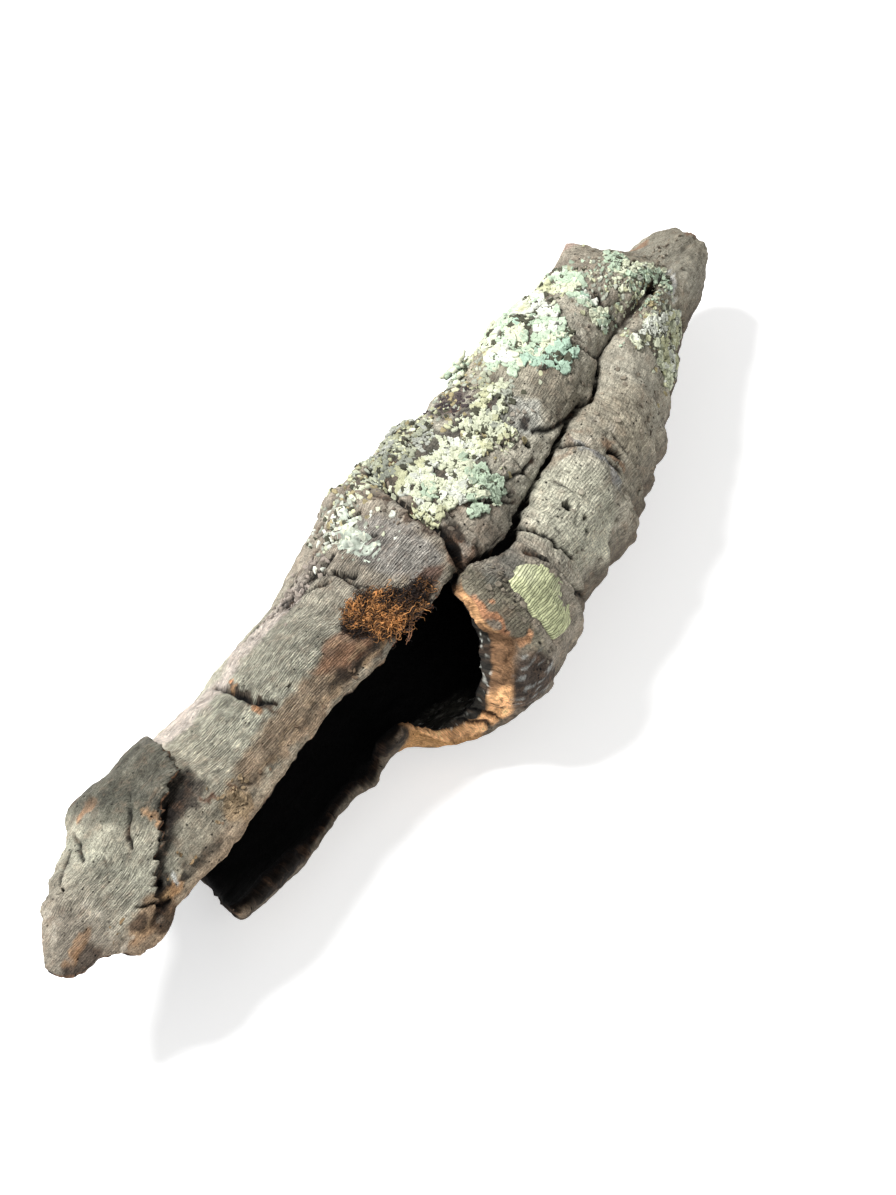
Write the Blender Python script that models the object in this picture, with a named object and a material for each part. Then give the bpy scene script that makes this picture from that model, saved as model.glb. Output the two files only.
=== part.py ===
"""A curled piece of bark, about 0.3 m long, with its lichens and a tuft of rusty fibres.

The bark is one sheet, rolled into a tube along X. Its two long rims meet in a fissure along the top of the far half
and leave a wide mouth in the near half. A place on the sheet is given as x along the tube, in mm, and an angle round
it, in degrees. The angle is 0 at the top and grows towards +Y, the left side: 90 is left, 180 the underside and 270
the right side. Below 0 it goes on down the right side from the top, so the fissure lies near -25 and near 335.
"""

import bmesh
import bpy
import numpy as np
from mathutils import Vector
from mathutils.geometry import delaunay_2d_cdt

MM = 0.001
SEED = 11

# Cross-sections of the tube in mm: place along X, centre (y, z), then reach from it to left, right, top and bottom.
SECTIONS = (
    (-140, 4, 15, 23, 21, 20, 18),
    (-125, 3, 17, 25, 21, 22, 19),
    (-110, 2, 19, 27, 22, 24, 19),
    (-96, 2, 21, 30, 22, 26, 20),
    (-84, 2, 22, 28, 23, 25, 21),
    (-66, 2, 22, 26, 24.5, 23, 21.3),
    (-40, 2, 23, 26, 23, 24, 22),
    (-26, 1, 23.5, 27, 22.5, 25, 22.5),
    (-21, 0, 24, 28, 23, 25.5, 23),
    (-16, 0, 24.5, 29, 34, 26, 24),
    (-8, -1, 25.5, 32, 40, 26.5, 25.3),
    (6, -3, 27, 37, 41.5, 28, 27.2),
    (16, -4, 28, 40, 40, 30, 28.6),
    (26, -4, 28, 39.5, 35, 30, 28.6),
    (40, -3, 28, 38, 33.3, 30, 28.6),
    (66, -1, 27, 33, 31, 29, 27.6),
    (90, 4, 27, 31, 29, 27, 25),
    (114, 8, 26, 26, 22, 24, 20),
    (134, 11, 26, 22, 17, 19, 16),
    (146, 11, 26, 13, 15, 12, 12),
    (158, 11, 24, 12, 10, 11, 10),
    (166, 11, 24, 7, 6, 7, 7),
)
REST = (24, -3.5, 0)  # a place in the flat spot that the bark lies on, which becomes the origin
ROUNDNESS = 2.15  # 2 makes each quarter of a section an ellipse, and more makes it squarer
MM_PER_DEGREE = 0.5  # along the sheet, near enough for spacing points

# The fissure, where the two long rims meet, and half the gap left between them there.
FISSURE = (
    (2, -28), (10, -26), (17, -31), (26, -35), (36, -30), (50, -26), (62, -22),
    (75, -21.5), (82, -28), (90, -23.5), (98, -17), (107, -17.5), (120, -22), (136, -25),
)
FISSURE_HALF_GAP = 1.2
FAR_EDGE = 134

# The rest of the sheet's edge, in the order in which it runs round the sheet.
TONGUE_TOP = (
    (-141, -2), (-137, 12), (-133, 23), (-128, 33), (-121, 41), (-114, 50), (-106, 57), (-98, 70),
)
UNDER_EDGE = ((-92, 100), (-86, 130), (-82, 160), (-83, 185), (-87, 215), (-91, 245), (-95, 272))
RIM_B = (
    (-88, 262), (-72, 263), (-62, 252), (-48, 250), (-42, 252), (-40, 246), (-34, 247), (-32, 262),
)
TEAR_OUTSIDE = (
    (-26, 268), (-22, 252), (-17, 247), (-10, 247), (-4, 250), (1, 254), (0, 270), (0, 280), (4, 286),
    (11, 288), (7, 296), (2, 304), (2, 311), (4, 318), (4, 325),
)
TEAR_INSIDE = (
    (-24, 266), (-20, 258), (-16, 251), (-12, 251), (-10, 257), (-8, 265), (-6, 274), (-4, 282), (-2, 290),
    (0, 297), (2, 303), (4, 308), (5, 313), (6, 319), (6, 326),
)
RIM_A = (
    (-6, -29), (-14, -29), (-24, -32.5), (-40, -33), (-54, -33.5), (-68, -37), (-82, -40), (-92, -41), (-104, -39),
)
TONGUE_FOOT = (
    (-109, -38), (-115, -44), (-119, -46), (-124, -42), (-127, -32), (-131, -25), (-136, -23), (-139, -18),
)

WALL = 4.5
TIP_WALL = 3.2
TEAR_WALL = 10

# Grooves across the bark: depth and half width in mm, then places along the groove.
GROOVES = (
    (2.0, 1.7, ((10, -26), (13, -10), (14, 5), (17, 32), (25, 58))),
    (1.6, 1.5, ((31, -38), (32, -45), (34, -54), (36, -64))),
    (1.4, 1.6, ((60, -27), (64, -38), (66, -49), (67, -61), (64, -74))),
    (0.9, 1.2, ((-50, 49), (-52, 32), (-52, 1), (-54, -19), (-54, -33))),
    (1.3, 1.5, ((45, 26), (47, 12), (46, 0), (44, -20))),
    (0.9, 1.4, ((-30, 52), (-22, 44), (-12, 38), (-9, 24), (-8, 16))),
    (0.8, 1.3, ((-20, 60), (-10, 50), (0, 58))),
    (1.2, 1.6, ((22, 92), (25, 125), (20, 165))),
    (1.1, 1.6, ((74, 232), (70, 195), (76, 150))),
)

# Swellings: height, place, and half widths along X and along the angle.
SWELLINGS = (
    (1.6, 3, 2, 8, 20),
    (1.4, 24, -58, 8, 22),
    (1.8, 50, -58, 13, 22),
    (1.2, 80, -55, 11, 18),
    (1.5, 58, 15, 9, 22),
    (1.0, 30, 25, 9, 25),
    (1.2, 92, 20, 12, 22),
    (1.0, -30, 10, 16, 24),
    (2.6, -37, 247, 4, 9),
    (1.4, -98, 58, 9, 20),
)

# The sheet's far edge flares off the knob into a spike.
SPIKE = (6.3, 136, 60, 9, 13)

# The torn layer on the tongue: its free edge, lifted clear of the bark, and the root that is grown into it.
FLAP_EDGE = (
    (-74, 53), (-77, 36), (-79, 24), (-83, 9), (-88, 7), (-93, 3), (-101, -10), (-104, -12), (-110, -19), (-113, -31),
)
FLAP_ROOT = ((-121, -30), (-126, -8), (-118, 12), (-106, 32), (-96, 52), (-84, 66))
FLAP_THICK = 1.4

LICHEN_GAP = 0.75
LICHENS = {
    "lichen_main": (
        (21, 46), (26, 55), (36, 65), (45, 66), (46, 54), (42, 37), (40, 24), (43, 17), (42, 6), (36, -3), (37, -10),
        (35, -16), (29, -17), (24, -15), (22, -11), (25, -6), (22, -1), (16, -1), (14, 4), (16, 14), (20, 22), (18, 33),
    ),
    "lichen_crest": (
        (45, 12), (46, 3), (49, -1), (53, 0), (54, 6), (60, 11), (66, 18), (67, 28), (69, 38), (73, 50), (74, 62),
        (68, 61), (57, 57), (54, 42), (50, 26),
    ),
    "lichen_mint": (
        (80, 61), (88, 60), (99, 64), (108, 62), (112, 54), (104, 28), (98, 16), (92, 4), (88, -4), (83, -6),
        (79, -3), (78, 8), (76, 17), (73, 24), (74, 36), (80, 48),
    ),
    "lichen_tip": (
        (115, 62), (121, 50), (120, 40), (116, 24), (111, 12), (110, -3), (108, -11), (104, -12), (103, -4),
        (107, 8), (107, 20), (109, 34), (114, 50),
    ),
    "lichen_neck": (
        (132, 28), (135, 24), (133, 8), (138, -4), (140, -20), (137, -34), (133, -35), (131, -22), (128, -10), (128, 8),
    ),
    "lichen_right": (
        (105, -31), (110, -31), (116, -35), (122, -40), (130, -50), (134, -68), (130, -80), (121, -68), (118, -76),
        (113, -84), (107, -64), (109, -50),
    ),
    "lichen_pale": (
        (-5, 28), (0, 44), (6, 54), (10, 48), (6, 34), (5, 25), (3, 15), (0, 9), (-4, 11), (-3, 20),
    ),
    "lichen_green": (
        (11, -47), (22, -46), (24, -57), (27, -71), (20, -71), (12, -70), (13, -60),
    ),
}

TUFT_THICK = 2.6
TUFT = (
    (-22, -4), (-19, 1), (-14, 4), (-10, 2), (-7, -7), (-3, -12), (1, -17), (-2, -23), (-7, -26), (-12, -27),
    (-12.4, -38), (-14.2, -38), (-15, -27), (-19, -27), (-23, -24), (-24, -15),
)


def smooth_between(x, places, values):
    """Values at x on a curve through the given ones, with no overshoot between them."""
    places = np.asarray(places, float)
    values = np.asarray(values, float)
    steps = np.diff(places)
    rises = np.diff(values) / steps
    same_way = rises[:-1] * rises[1:] > 0
    both = np.where(same_way, rises[:-1] + rises[1:], 1)
    slopes = np.concatenate([rises[:1], np.where(same_way, 2 * rises[:-1] * rises[1:] / both, 0), rises[-1:]])
    x = np.clip(x, places[0], places[-1])
    i = np.clip(np.searchsorted(places, x) - 1, 0, len(steps) - 1)
    t = (x - places[i]) / steps[i]
    rise = values[i + 1] - values[i]
    start = slopes[i] * steps[i]
    end = slopes[i + 1] * steps[i]
    return values[i] + t * (start + t * (3 * rise - 2 * start - end + t * (start + end - 2 * rise)))


def ramp(x, start, end):
    """0 before start, 1 after end, and a smooth rise between them."""
    t = np.clip((x - start) / (end - start), 0, 1)
    return t * t * (3 - 2 * t)


def turned(angle, base):
    """The angle measured from base, between -180 and 180."""
    return (angle - base + 180) % 360 - 180


def fissure(x):
    places, angles = np.array(FISSURE, float).T
    return smooth_between(x, places, angles)


def distance_to(line, x, angle):
    """Distance along the sheet, in mm, to a line of places."""
    best = np.full(np.shape(x), 1e9)
    for (x0, a0), (x1, a1) in zip(line[:-1], line[1:]):
        across = turned(angle, a0) * MM_PER_DEGREE
        run = np.array((x1 - x0, (a1 - a0) * MM_PER_DEGREE))
        t = np.clip(((x - x0) * run[0] + across * run[1]) / (run @ run), 0, 1)
        best = np.minimum(best, np.hypot(x - x0 - t * run[0], across - t * run[1]))
    return best


def swelling(x, angle):
    """Height of the bark's outer surface over the smooth tube, in mm, without its grooves."""
    from_fissure = turned(angle, fissure(x))
    far = ramp(x, 0, 18) * ramp(-x, -132, -112)
    height = -(1.0 + 4.6 * far) * np.exp(-((from_fissure / (6 + 6 * far)) ** 2))
    for rise, place, middle, along, around in SWELLINGS:
        height = height + rise * np.exp(-(((x - place) / along) ** 2) - (turned(angle, middle) / around) ** 2)
    turn = np.radians(angle)
    height = height + 0.45 * np.sin(x / 8.1 + 2 * turn) * np.cos(3 * turn + 1)
    return height + 0.35 * np.sin(x / 4.7 - 3 * turn) * np.sin(x / 13 + 5 * turn)


def spike(x, angle):
    """Height in mm by which the sheet's far edge flares off the knob."""
    rise, place, middle, along, around = SPIKE
    return rise * np.exp(-(((x - place) / along) ** 2) - (turned(angle, middle) / around) ** 2)


def relief(x, angle):
    """Height of the bark's outer surface over the smooth tube, in mm, with its spike and grooves."""
    height = swelling(x, angle) + spike(x, angle)
    for depth, width, line in GROOVES:
        height = height - depth * np.exp(-((distance_to(line, x, angle) / width) ** 2))
    return height


def tube(x, angle, height, floor=0.0):
    """Points height mm over the smooth tube, in mm, with none lower than the floor."""
    columns = np.array(SECTIONS, float).T
    y, z, left, right, top, bottom = [smooth_between(x, columns[0], column) for column in columns[1:]]
    turn = np.radians(angle)
    across = np.sin(turn)
    up = np.cos(turn)
    wide = np.abs(across) / np.where(across > 0, left, right)
    high = np.abs(up) / np.where(up > 0, top, bottom)
    reach = (wide**ROUNDNESS + high**ROUNDNESS) ** (-1 / ROUNDNESS) + height
    return np.stack([x + 0 * reach, y + reach * across, np.maximum(z + reach * up, floor)], -1)


def wall(x, angle):
    """Thickness of the bark, in mm: thin at the tongue's tip and thick where the right lobe is torn."""
    torn = ramp(x, -22, -7) * ramp(-x, -26, -12) * ramp(-np.abs(turned(angle, 285)), -62, -44)
    return TIP_WALL + (WALL - TIP_WALL) * ramp(x, -138, -95) + (TEAR_WALL - WALL) * torn


def outer_skin(x, angle):
    return tube(x, angle, relief(x, angle))


def inner_skin(x, angle):
    return tube(x, angle, relief(x, angle) - wall(x, angle), WALL)


def bark_edge():
    """The sheet's edge on its outer and on its inner surface, as two lists of places that match one to one."""
    ridge_side = [(x, fissure(x) + FISSURE_HALF_GAP) for x in range(2, FAR_EDGE + 1, 4)]
    lobe_side = [(x, fissure(x) + 360 - FISSURE_HALF_GAP) for x in range(FAR_EDGE, 9, -4)]
    far_edge = [(FAR_EDGE, angle) for angle in range(0, 321, 20)]
    before = list(reversed(TONGUE_FOOT)) + list(reversed(RIM_A)) + ridge_side + far_edge + lobe_side
    after = list(reversed(RIM_B)) + list(reversed(UNDER_EDGE)) + list(reversed(TONGUE_TOP))
    outside = before + list(reversed(TEAR_OUTSIDE)) + after
    inside = before + list(reversed(TEAR_INSIDE)) + after
    return np.array(outside, float), np.array(inside, float)


def divided(outlines, step):
    """The same outlines with places added between their own, none further apart than step mm."""
    scale = np.array((1, MM_PER_DEGREE))
    longest = np.max([np.linalg.norm((np.roll(o, -1, 0) - o) * scale, axis=1) for o in outlines], axis=0)
    counts = np.maximum(1, np.ceil(longest / step).astype(int))
    shares = [(i, k / count) for i, count in enumerate(counts) for k in range(count)]
    return [np.array([o[i] + t * (o[(i + 1) % len(o)] - o[i]) for i, t in shares]) for o in outlines]


def inside_of(outline, points):
    """Whether each point lies inside a closed outline, both given flat in mm."""
    crossings = np.zeros(len(points), int)
    for (x0, y0), (x1, y1) in zip(outline, np.roll(outline, -1, 0)):
        if y0 != y1:
            spans = (points[:, 1] >= min(y0, y1)) & (points[:, 1] < max(y0, y1))
            crossings += spans & (points[:, 0] < x0 + (points[:, 1] - y0) * (x1 - x0) / (y1 - y0))
    return crossings % 2 == 1


def fill(outline, spacing, extra, chance):
    """Places inside an outline and the triangles between them. The outline's own places come first."""
    scale = np.array((1, MM_PER_DEGREE))
    flat = outline * scale
    low, high = flat.min(0), flat.max(0)
    lines = np.arange(low[1], high[1], spacing * 0.87)
    grid = [(u + spacing / 2 * (j % 2), v) for j, v in enumerate(lines) for u in np.arange(low[0], high[0], spacing)]
    grid = np.array(grid) + chance.uniform(-0.12, 0.12, (len(grid), 2)) * spacing
    if len(extra):
        extra = np.array(extra) * scale
        grid = grid[np.min(np.linalg.norm(grid[:, None] - extra[None], axis=2), axis=1) > spacing * 0.55]
        grid = np.vstack([extra, grid])
    grid = grid[inside_of(flat, grid)]
    grid = grid[np.min(np.linalg.norm(grid[:, None] - flat[None], axis=2), axis=1) > spacing * 0.5]
    points = np.vstack([flat, grid])
    count = len(flat)
    edges = [(i, (i + 1) % count) for i in range(count)]
    _, _, faces, origin, _, _ = delaunay_2d_cdt([Vector(p) for p in points], edges, [], 1, 1e-5)
    triangles = [[origin[corner][0] for corner in face] for face in faces]
    return points / scale, triangles


def mesh_object(name, points, faces):
    """A new object from points of the tube in mm, moved so that REST is the origin, its faces turned outwards."""
    mesh = bpy.data.meshes.new(name)
    mesh.from_pydata([(Vector(point) - Vector(REST)) * MM for point in points], [], faces)
    shell = bmesh.new()
    shell.from_mesh(mesh)
    bmesh.ops.recalc_face_normals(shell, faces=shell.faces)
    shell.to_mesh(mesh)
    shell.free()
    thing = bpy.data.objects.new(name, mesh)
    bpy.context.collection.objects.link(thing)
    return thing


def sheet(name, outlines, surfaces, spacings, extra=(), seed=SEED):
    """A closed sheet between an outer and an inner surface, with a rounded rim between their two outlines.

    Along the fissure the rim stays square, so that its two sides keep clear of each other.
    """
    chance = np.random.default_rng(seed)
    points, faces = [], []
    starts = []
    for outline, surface, spacing, more in zip(outlines, surfaces, spacings, (extra, ())):
        places, triangles = fill(outline, spacing, more, chance)
        starts.append(len(points))
        points.extend(surface(places[:, 0], places[:, 1]))
        faces.extend([[starts[-1] + corner for corner in triangle] for triangle in triangles])
    count = len(outlines[0])
    outer = np.array(points[:count])
    inner = np.array(points[starts[1]:starts[1] + count])
    middle = (outer + inner) / 2
    along = np.roll(middle, -1, 0) - np.roll(middle, 1, 0)
    away = np.cross(along, outer - inner)
    away /= np.linalg.norm(away, axis=1, keepdims=True)
    thickness = np.linalg.norm(outer - inner, axis=1, keepdims=True)
    starts.append(len(points))
    bulge = np.where(np.abs(turned(outlines[0][:, 1], fissure(outlines[0][:, 0]))) < 3, 0, 0.15)
    points.extend(middle + away * thickness * bulge[:, None])
    for i in range(count):
        j = (i + 1) % count
        for a, b in ((0, 2), (2, 1)):
            faces.append([starts[a] + i, starts[a] + j, starts[b] + j])
            faces.append([starts[a] + i, starts[b] + j, starts[b] + i])
    return mesh_object(name, points, faces)


def groove_places():
    """Places along both shoulders and the bed of every groove, to carry its shape."""
    places = []
    for _, width, line in GROOVES:
        dense = divided([np.array(line + line[-2:0:-1], float)], 4)[0][: 2 * len(line) + 6]
        for offset in (-1.4 * width, 0, 1.4 * width):
            places.extend((x + offset, angle) for x, angle in dense)
    kept = []
    for place in places:
        if all(np.hypot(place[0] - p[0], (place[1] - p[1]) * MM_PER_DEGREE) > 1.2 for p in kept):
            kept.append(place)
    return kept


def knob():
    """The rounded far end, from inside the tube to its blunt tip."""
    rings = (122, 128, 134, 137, 140, 143, 147, 151, 155, 159, 162, 165)
    around = 26
    points = [np.array((118, 11, 26))]
    for x in rings:
        angles = np.arange(around) * 360 / around + 7 * (x % 2)
        sunk = -2.2 if x <= 134 else 0
        places = np.full(around, float(x))
        points.extend(tube(places, angles, swelling(places, angles) + sunk))
    points.append(np.array((168.5, 11, 23)))
    faces = [(0, 1 + i, 1 + (i + 1) % around) for i in range(around)]
    for ring in range(len(rings) - 1):
        start = 1 + ring * around
        for i in range(around):
            j = (i + 1) % around
            faces.append((start + i, start + j, start + around + j))
            faces.append((start + i, start + around + j, start + around + i))
    last = 1 + (len(rings) - 1) * around
    faces.extend((last + i, last + (i + 1) % around, len(points) - 1) for i in range(around))
    return mesh_object("knob", points, faces)


def flap():
    """The torn layer that stands up off the tongue along its free edge."""
    def top(x, angle):
        open_more = 1.5 + 1.9 * np.exp(-(((x + 88) / 8) ** 2))
        near = np.exp(-((distance_to(FLAP_EDGE, x, angle) / 9) ** 2))
        return relief(x, angle) - 0.7 + (open_more + FLAP_THICK) * near

    def upper(x, angle):
        return tube(x, angle, top(x, angle))

    def lower(x, angle):
        return tube(x, angle, top(x, angle) - FLAP_THICK)

    outline = divided([np.array(FLAP_EDGE + FLAP_ROOT, float)], 3.5)[0]
    return sheet("flap", (outline, outline), (upper, lower), (4.5, 6))


def join(target, tool, solver="EXACT"):
    union = target.modifiers.new("union", "BOOLEAN")
    union.operation = "UNION"
    union.solver = solver
    union.object = tool
    bpy.context.view_layer.objects.active = target
    bpy.ops.object.modifier_apply(modifier=union.name)
    bpy.data.objects.remove(tool)


def paint(thing, name, colour, roughness):
    material = bpy.data.materials.new(name)
    material.use_nodes = True
    shader = material.node_tree.nodes["Principled BSDF"]
    shader.inputs["Base Color"].default_value = (*colour, 1)
    shader.inputs["Roughness"].default_value = roughness
    thing.data.materials.clear()
    thing.data.materials.append(material)


def bark():
    chance = np.random.default_rng(SEED)
    outside, inside = divided(bark_edge(), 5)
    ragged = chance.normal(0, 1, (len(outside), 2)) * (0.35, 0.7)
    held = (outside[:, 0] > 8)[:, None]
    ragged = np.where(held, 0, ragged)
    edges = (outside + ragged, inside + ragged)
    thing = sheet("bark", edges, (outer_skin, inner_skin), (5, 8), groove_places())
    join(thing, knob())
    join(thing, flap())
    paint(thing, "bark", (0.24, 0.21, 0.18), 0.85)
    return thing


def scalloped(places, lobe, chance):
    """A finely divided outline with rounded lobes about lobe mm wide along it."""
    outline = divided([np.array(places, float)], 1.7)[0]
    flat = outline * (1, MM_PER_DEGREE)
    along = np.roll(flat, -1, 0) - np.roll(flat, 1, 0)
    turning = np.sum(flat[:, 0] * np.roll(flat[:, 1], -1) - flat[:, 1] * np.roll(flat[:, 0], -1))
    away = np.stack([along[:, 1], -along[:, 0]], -1) * np.sign(turning)
    away /= np.linalg.norm(away, axis=1, keepdims=True) + 1e-9
    travelled = np.cumsum(np.linalg.norm(flat - np.roll(flat, 1, 0), axis=1))
    wander = np.convolve(chance.uniform(-1, 1, len(flat) + 8), np.ones(9) / 9, "valid") * 3
    swing = np.abs(np.sin(np.pi * travelled / lobe + wander)) ** 0.6
    return (flat + away * (1.3 * swing - 0.6)[:, None]) / (1, MM_PER_DEGREE)


def lobes(places, lobe, chance):
    """A function that gives, for places on the sheet, a height from 0 to 1 of rounded lobes with creases between."""
    flat = np.array(places) * (1, MM_PER_DEGREE)
    low, high = flat.min(0) - lobe, flat.max(0) + lobe
    seeds = [(u + lobe / 2 * (j % 2), v) for j, v in enumerate(np.arange(low[1], high[1], lobe * 0.87))
             for u in np.arange(low[0], high[0], lobe)]
    seeds = np.array(seeds) + chance.uniform(-0.3, 0.3, (len(seeds), 2)) * lobe
    levels = chance.uniform(0.5, 1, len(seeds))

    def height(x, angle):
        here = np.stack([x, angle * MM_PER_DEGREE], -1)
        distances = np.linalg.norm(here[:, None] - seeds[None], axis=2)
        order = np.argsort(distances, axis=1)
        nearest = np.take_along_axis(distances, order[:, :2], 1)
        return levels[order[:, 0]] * (0.3 + 0.7 * ramp(nearest[:, 1] - nearest[:, 0], 0, 0.35 * lobe))

    return height


def crust(name, places, thick, lobe, colour, seed):
    """A lobed patch that grows over the bark and follows it, LICHEN_GAP clear of it."""
    chance = np.random.default_rng(seed)
    outline = scalloped(places, lobe, chance)
    rise = lobes(places, lobe, chance)

    def upper(x, angle):
        top = 0.65 + (thick - 0.65) * rise(x, angle)
        return tube(x, angle, swelling(x, angle) + spike(x, angle) + LICHEN_GAP + top)

    def lower(x, angle):
        return tube(x, angle, swelling(x, angle) + spike(x, angle) + LICHEN_GAP)

    thing = sheet(name, (outline, outline), (upper, lower), (2.1, 3.4), seed=seed)
    paint(thing, name, colour, 0.9)
    return thing


def fibres(count):
    """Curved three-sided fibres, rooted at both ends in the tuft and standing out of it between them."""
    chance = np.random.default_rng(SEED)
    scale = np.array((1, MM_PER_DEGREE))
    points, faces = [], []
    made = 0
    while made < count:
        start = chance.uniform((-23, -27), (0, 3))
        swing = chance.uniform(0, 2 * np.pi)
        run = chance.uniform(2.6, 4.6) * np.array((np.cos(swing), np.sin(swing) * 2))
        ends = np.array((start - run, start + run))
        clear = distance_to(TUFT + TUFT[:1], ends[:, 0], ends[:, 1]).min() > 1.8
        if not clear or not inside_of(np.array(TUFT) * scale, ends * scale).all():
            continue
        made += 1
        heights = 0.55 + chance.uniform(3.2, 5.2) * np.array((0, 0.75, 1, 0.7, 0))
        bend = chance.uniform(-1.5, 1.5) * np.array((0, 0.8, 1, 0.8, 0))
        x = start[0] + run[0] * np.linspace(-1, 1, 5) + bend
        angle = start[1] + run[1] * np.linspace(-1, 1, 5) + bend
        spine = tube(x, angle, swelling(x, angle) + LICHEN_GAP + heights)
        along = np.gradient(spine, axis=0)
        side = np.cross(along, (0, 0, 1.0))
        side /= np.linalg.norm(side, axis=1, keepdims=True)
        lift = np.cross(side, along)
        lift /= np.linalg.norm(lift, axis=1, keepdims=True)
        base = len(points)
        for turn in (90, 210, 330):
            points.extend(spine + 0.5 * (side * np.cos(np.radians(turn)) + lift * np.sin(np.radians(turn))))
        for corner in range(3):
            here, there = base + 5 * corner, base + 5 * ((corner + 1) % 3)
            for step in range(4):
                faces.append((here + step, there + step, there + step + 1))
                faces.append((here + step, there + step + 1, here + step + 1))
        faces.append((base, base + 5, base + 10))
        faces.append((base + 4, base + 14, base + 9))
    return mesh_object("fibres", points, faces)


def main():
    for thing in list(bpy.data.objects):
        bpy.data.objects.remove(thing)
    bark()
    for number, (name, places) in enumerate(LICHENS.items()):
        thin = name in ("lichen_green", "lichen_pale")
        colour = (0.45, 0.52, 0.24) if name == "lichen_green" else (0.62, 0.68, 0.5)
        crust(name, places, 0.9 if thin else 2.0, 3.4 if thin else 4.4, colour, SEED + number)
    tuft = crust("rust_tuft", TUFT, TUFT_THICK, 2.8, (0.45, 0.16, 0.03), SEED)
    join(tuft, fibres(26), "MANIFOLD")


if __name__ == "__main__":
    main()
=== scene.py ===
"""The looks of the piece of bark: its weathered skin, its lichens and its tuft of rusty fibres.

A place on the bark is given as x along its tube, in mm, and an angle round it, in degrees. The angle is 0
at the top, 90 on the left side (+Y), 180 underneath and 270 or -90 on the right side. Heights and depths are
in mm too.
"""

import math

import bpy
import numpy as np
from mathutils import Matrix, Vector
from mathutils.bvhtree import BVHTree


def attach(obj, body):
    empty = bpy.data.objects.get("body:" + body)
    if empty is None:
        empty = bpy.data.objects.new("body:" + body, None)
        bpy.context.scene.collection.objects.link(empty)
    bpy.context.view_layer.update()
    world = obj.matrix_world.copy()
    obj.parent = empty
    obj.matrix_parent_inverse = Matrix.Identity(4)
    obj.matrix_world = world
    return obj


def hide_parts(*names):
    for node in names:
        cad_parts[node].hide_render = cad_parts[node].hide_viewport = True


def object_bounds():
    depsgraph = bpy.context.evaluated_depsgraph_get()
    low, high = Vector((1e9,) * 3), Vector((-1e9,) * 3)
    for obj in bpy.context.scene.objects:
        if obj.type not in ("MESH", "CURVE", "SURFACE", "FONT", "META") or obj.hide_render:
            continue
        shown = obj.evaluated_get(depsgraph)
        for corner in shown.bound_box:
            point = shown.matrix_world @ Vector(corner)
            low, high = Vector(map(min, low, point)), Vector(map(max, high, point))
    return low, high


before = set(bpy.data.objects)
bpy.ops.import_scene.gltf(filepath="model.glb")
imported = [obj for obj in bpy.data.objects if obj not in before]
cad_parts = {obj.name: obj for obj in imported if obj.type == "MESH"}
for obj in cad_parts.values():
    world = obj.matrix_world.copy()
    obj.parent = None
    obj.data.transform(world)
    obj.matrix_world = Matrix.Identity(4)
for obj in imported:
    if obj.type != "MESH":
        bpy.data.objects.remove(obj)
cad_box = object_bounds()

MM = 0.001
SEED = 29
REST = np.array((24, -3.5, 0))  # where the origin lies in the tube's own millimetres
ROUNDNESS = 2.15  # of the tube's sections: 2 is an ellipse, and more is squarer
MM_PER_DEGREE = 0.5  # along the sheet
SHEET_RADIUS = 27
VOXEL = 0.62  # grain of the weathered skin's mesh
COARSE = 2.6  # how many times fewer faces the hollow's lining has
FAR_START = 66  # where the far piece of the outside starts

# Cross-sections of the tube: place along X, centre (y, z), then reach from it to left, right, top and bottom.
SECTIONS = (
    (-140, 4, 15, 23, 21, 20, 18),
    (-125, 3, 17, 25, 21, 22, 19),
    (-110, 2, 19, 27, 22, 24, 19),
    (-96, 2, 21, 30, 22, 26, 20),
    (-84, 2, 22, 28, 23, 25, 21),
    (-66, 2, 22, 26, 24.5, 23, 21.3),
    (-40, 2, 23, 26, 23, 24, 22),
    (-26, 1, 23.5, 27, 22.5, 25, 22.5),
    (-21, 0, 24, 28, 23, 25.5, 23),
    (-16, 0, 24.5, 29, 34, 26, 24),
    (-8, -1, 25.5, 32, 40, 26.5, 25.3),
    (6, -3, 27, 37, 41.5, 28, 27.2),
    (16, -4, 28, 40, 40, 30, 28.6),
    (26, -4, 28, 39.5, 35, 30, 28.6),
    (40, -3, 28, 38, 33.3, 30, 28.6),
    (66, -1, 27, 33, 31, 29, 27.6),
    (90, 4, 27, 31, 29, 27, 25),
    (114, 8, 26, 26, 22, 24, 20),
    (134, 11, 26, 22, 17, 19, 16),
    (146, 11, 26, 13, 15, 12, 12),
    (158, 11, 24, 12, 10, 11, 10),
    (166, 11, 24, 7, 6, 7, 7),
)

# The fissure's course, as (x, angle).
FISSURE = (
    (2, -28), (10, -26), (17, -31), (26, -35), (36, -30), (50, -26), (62, -22),
    (75, -21.5), (82, -28), (90, -23.5), (98, -17), (107, -17.5), (120, -22), (136, -25),
)

# The part's own grooves: depth and half width in mm, then places along the groove.
GROOVES = (
    (2.0, 1.7, ((10, -26), (13, -10), (14, 5), (17, 32), (25, 58))),
    (1.6, 1.5, ((31, -38), (32, -45), (34, -54), (36, -64))),
    (1.4, 1.6, ((60, -27), (64, -38), (66, -49), (67, -61), (64, -74))),
    (0.9, 1.2, ((-50, 49), (-52, 32), (-52, 1), (-54, -19), (-54, -33))),
    (1.3, 1.5, ((45, 26), (47, 12), (46, 0), (44, -20))),
    (0.9, 1.4, ((-30, 52), (-22, 44), (-12, 38), (-9, 24), (-8, 16))),
    (0.8, 1.3, ((-20, 60), (-10, 50), (0, 58))),
    (1.2, 1.6, ((22, 92), (25, 125), (20, 165))),
    (1.1, 1.6, ((74, 232), (70, 195), (76, 150))),
)

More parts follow.
